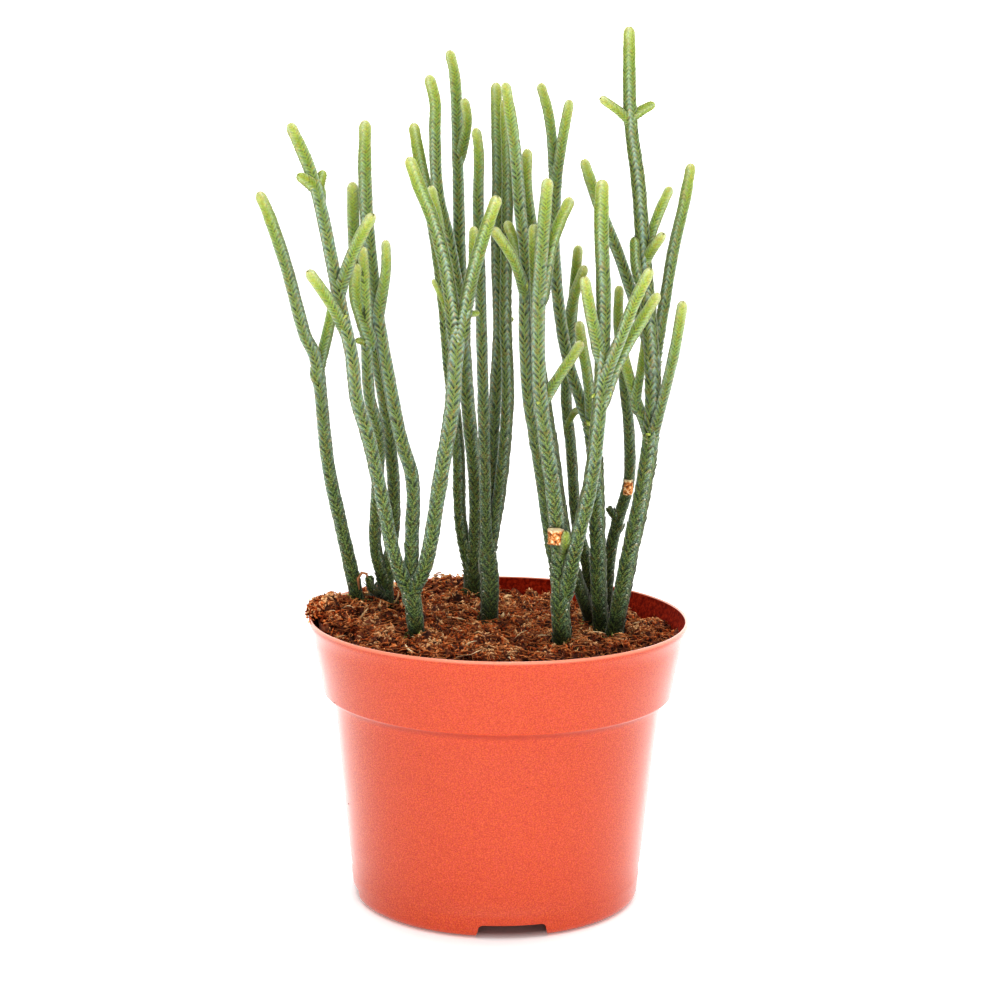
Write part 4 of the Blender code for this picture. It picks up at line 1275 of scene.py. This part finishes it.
# ---------------------------------------------------------------- shed leaves, lobes and old wood


def shed_leaf_material():
    """Old scale leaves: olive and rust, a few of them still lime."""
    nodes = material_nodes("shed_leaf")
    grain = nodes.noise(1200.0, 2.0)
    colour = nodes.ramp(
        nodes.scaled(grain, 0.3, nodes.math("SUBTRACT", nodes.attribute("luck"), 0.15)),
        (0.1, (0.06, 0.075, 0.016)), (0.55, (0.15, 0.17, 0.03)),
        (0.75, (0.30, 0.12, 0.03)), (0.92, (0.62, 0.66, 0.16)),
    )
    return nodes.finish(colour, 0.7, grain, 0.0002, 0.6)


def lobe_material():
    """The lime of fresh leaves at a fork."""
    nodes = material_nodes("young_lobe")
    grain = nodes.noise(900.0, 2.0)
    colour = nodes.ramp(grain, (0.38, (0.36, 0.44, 0.07)), (0.62, (0.58, 0.62, 0.20)))
    return nodes.finish(colour, 0.55, grain, 0.0002, 0.6)


def build_small_leaves():
    """Shed leaves round the plants' feet, and young ones in the forks."""
    build_chips("shed_leaves", foot_points(SHED_LEAVES), 0.0, 1.0, shed_leaf_material())
    build_chips("young_lobes", np.array(LOBES), 0.0, 1.9, lobe_material())


def cut_material():
    """Dry pith with a corky edge: cream, with rusty bark down the side."""
    nodes = material_nodes("old_cut")
    grain = nodes.noise(800.0, 3.0, 0.6)
    bark = nodes.ramp(
        grain,
        (0.38, (0.09, 0.04, 0.015)), (0.46, (0.50, 0.15, 0.035)),
        (0.54, (0.78, 0.36, 0.10)), (0.62, (0.96, 0.84, 0.58)),
    )
    colour = nodes.mix(nodes.attribute("face"), bark, (0.92, 0.78, 0.52))
    return nodes.finish(colour, 0.8, grain, 0.0003, 0.8)


def build_cuts():
    """Stubs that end in a flat cut, with rough bark and a slightly dished face."""
    share = np.linspace(0, 1, CUT_RINGS)
    around = outward(circle(CUT_SIDES), (1, 0, 0), (0, 1, 0))
    face = np.append(np.repeat((share == 1) * 0.7, CUT_SIDES), [0.0, 1.0])
    parts = Parts()
    for foot, top, radius in CUTS:
        foot, top = np.array(foot), np.array(top)
        rough = radius * (1 + random.normal(0, 0.06, (CUT_RINGS, CUT_SIDES)))
        rough[-1] *= 0.94
        rings = (foot + (top - foot) * share[:, None])[:, None] + rough[..., None] * around
        points = np.vstack([rings.reshape(-1, 3), foot, top - (0, 0, 0.3 * radius)])
        parts.add(points, *ring_faces(CUT_RINGS, CUT_SIDES), face=face)
    add_piece(parts.mesh("old_cuts"), [cut_material()])


def build_dead_shoot():
    material = fibre_material("dead_shoot", (0.22, 0.07, 0.03), (0.50, 0.24, 0.12))
    lines, radii = np.array([DEAD_SHOOT], float), np.array([DEAD_SHOOT_RADIUS])
    build_strands("dead_shoot", lines, radii, material, sides=6)


# ---------------------------------------------------------------- the studio


def floor_material():
    """White paper that glows, except under the pot."""
    nodes = material_nodes("studio_paper")
    away = nodes.node("ShaderNodeVectorMath", [(0, nodes.position())], operation="LENGTH")
    glow = nodes.map_range(away.outputs["Value"], GLOW_START, GLOW_FULL, 0.0, FLOOR_GLOW)
    shader = nodes.tree.nodes["Principled BSDF"]
    sockets = (
        ("Base Color", (0.93, 0.93, 0.93)), ("Roughness", 0.9),
        ("Emission Color", WHITE), ("Emission Strength", glow),
    )
    for socket, value in sockets:
        nodes.fill(shader.inputs[socket], value)
    return nodes.owner


def white_surround():
    """A glowing backdrop behind the plant, and a dimmer room on the side of the camera."""
    nodes = Nodes(bpy.data.worlds.new("studio_white"))
    direction = nodes.node("ShaderNodeTexCoord").outputs["Generated"]
    sockets = ((0, direction), (1, (0.16, 0.98, 0.0)))
    facing = nodes.node("ShaderNodeVectorMath", sockets, operation="DOT_PRODUCT").outputs["Value"]
    backdrop = nodes.tree.nodes["Background"]
    nodes.fill(backdrop.inputs["Strength"], nodes.map_range(facing, -0.4, 0.7, 0.4, 2.0, "SMOOTHSTEP"))
    nodes.fill(backdrop.inputs["Color"], WHITE)
    return nodes.owner


def add_lamp(name, location, size, power):
    data = bpy.data.lights.new(name, "AREA")
    data.shape = "RECTANGLE"
    data.size, data.size_y = size
    data.energy = power
    lamp = add_object(name, data)
    lamp.location = location
    aim = Vector((0, 0, 0.12)) - Vector(location)
    lamp.rotation_mode = "QUATERNION"
    lamp.rotation_quaternion = aim.to_track_quat("-Z", "Y")


def floor_shape(shape):
    bmesh.ops.create_grid(shape, x_segments=2, y_segments=2, size=FLOOR_HALF_WIDTH)


def build_studio():
    """A pale floor that runs out of sight, a white surround and soft lamps."""
    floor = shaped_object("studio_floor", floor_shape)
    floor.location = (POT_AXIS[0], POT_AXIS[1], -0.0002)
    floor.data.materials.append(floor_material())
    bpy.context.scene.world = white_surround()
    add_lamp("front_low", (0.1, -0.9, 0.06), (1.4, 0.12), 5.5)
    add_lamp("front_high", (-0.5, -0.9, 0.9), (0.7, 0.7), 1.2)
    add_lamp("overhead", (0.0, -0.1, 1.1), (0.8, 0.8), 6.0)


def build_camera():
    """Just above the rim, looking slightly down, as the plant was photographed."""
    data = bpy.data.cameras.new("camera")
    data.lens = CAMERA_LENS
    data.sensor_width = 36.0
    data.clip_start, data.clip_end = 0.05, 20.0
    camera = add_object("camera", data)
    forward = Vector((0, math.cos(CAMERA_PITCH), -math.sin(CAMERA_PITCH)))
    right = forward.cross(Vector((0, 0, 1))).normalized()
    upward = right.cross(forward)
    turned_right = right * math.cos(CAMERA_ROLL) + upward * math.sin(CAMERA_ROLL)
    turned_up = upward * math.cos(CAMERA_ROLL) - right * math.sin(CAMERA_ROLL)
    matrix = Matrix((turned_right, turned_up, -forward)).transposed().to_4x4()
    place = Vector((0, -math.cos(CAMERA_RISE), math.sin(CAMERA_RISE))) * CAMERA_DISTANCE
    matrix.translation = place + Vector(POT_AXIS)
    camera.matrix_world = matrix
    scene = bpy.context.scene
    scene.camera = camera
    scene.view_settings.view_transform = "Standard"
    scene.view_settings.gamma = 0.8


build_camera()
build_studio()
build_pot()
dress_soil()
build_small_leaves()
build_plants()
build_cuts()
build_dead_shoot()
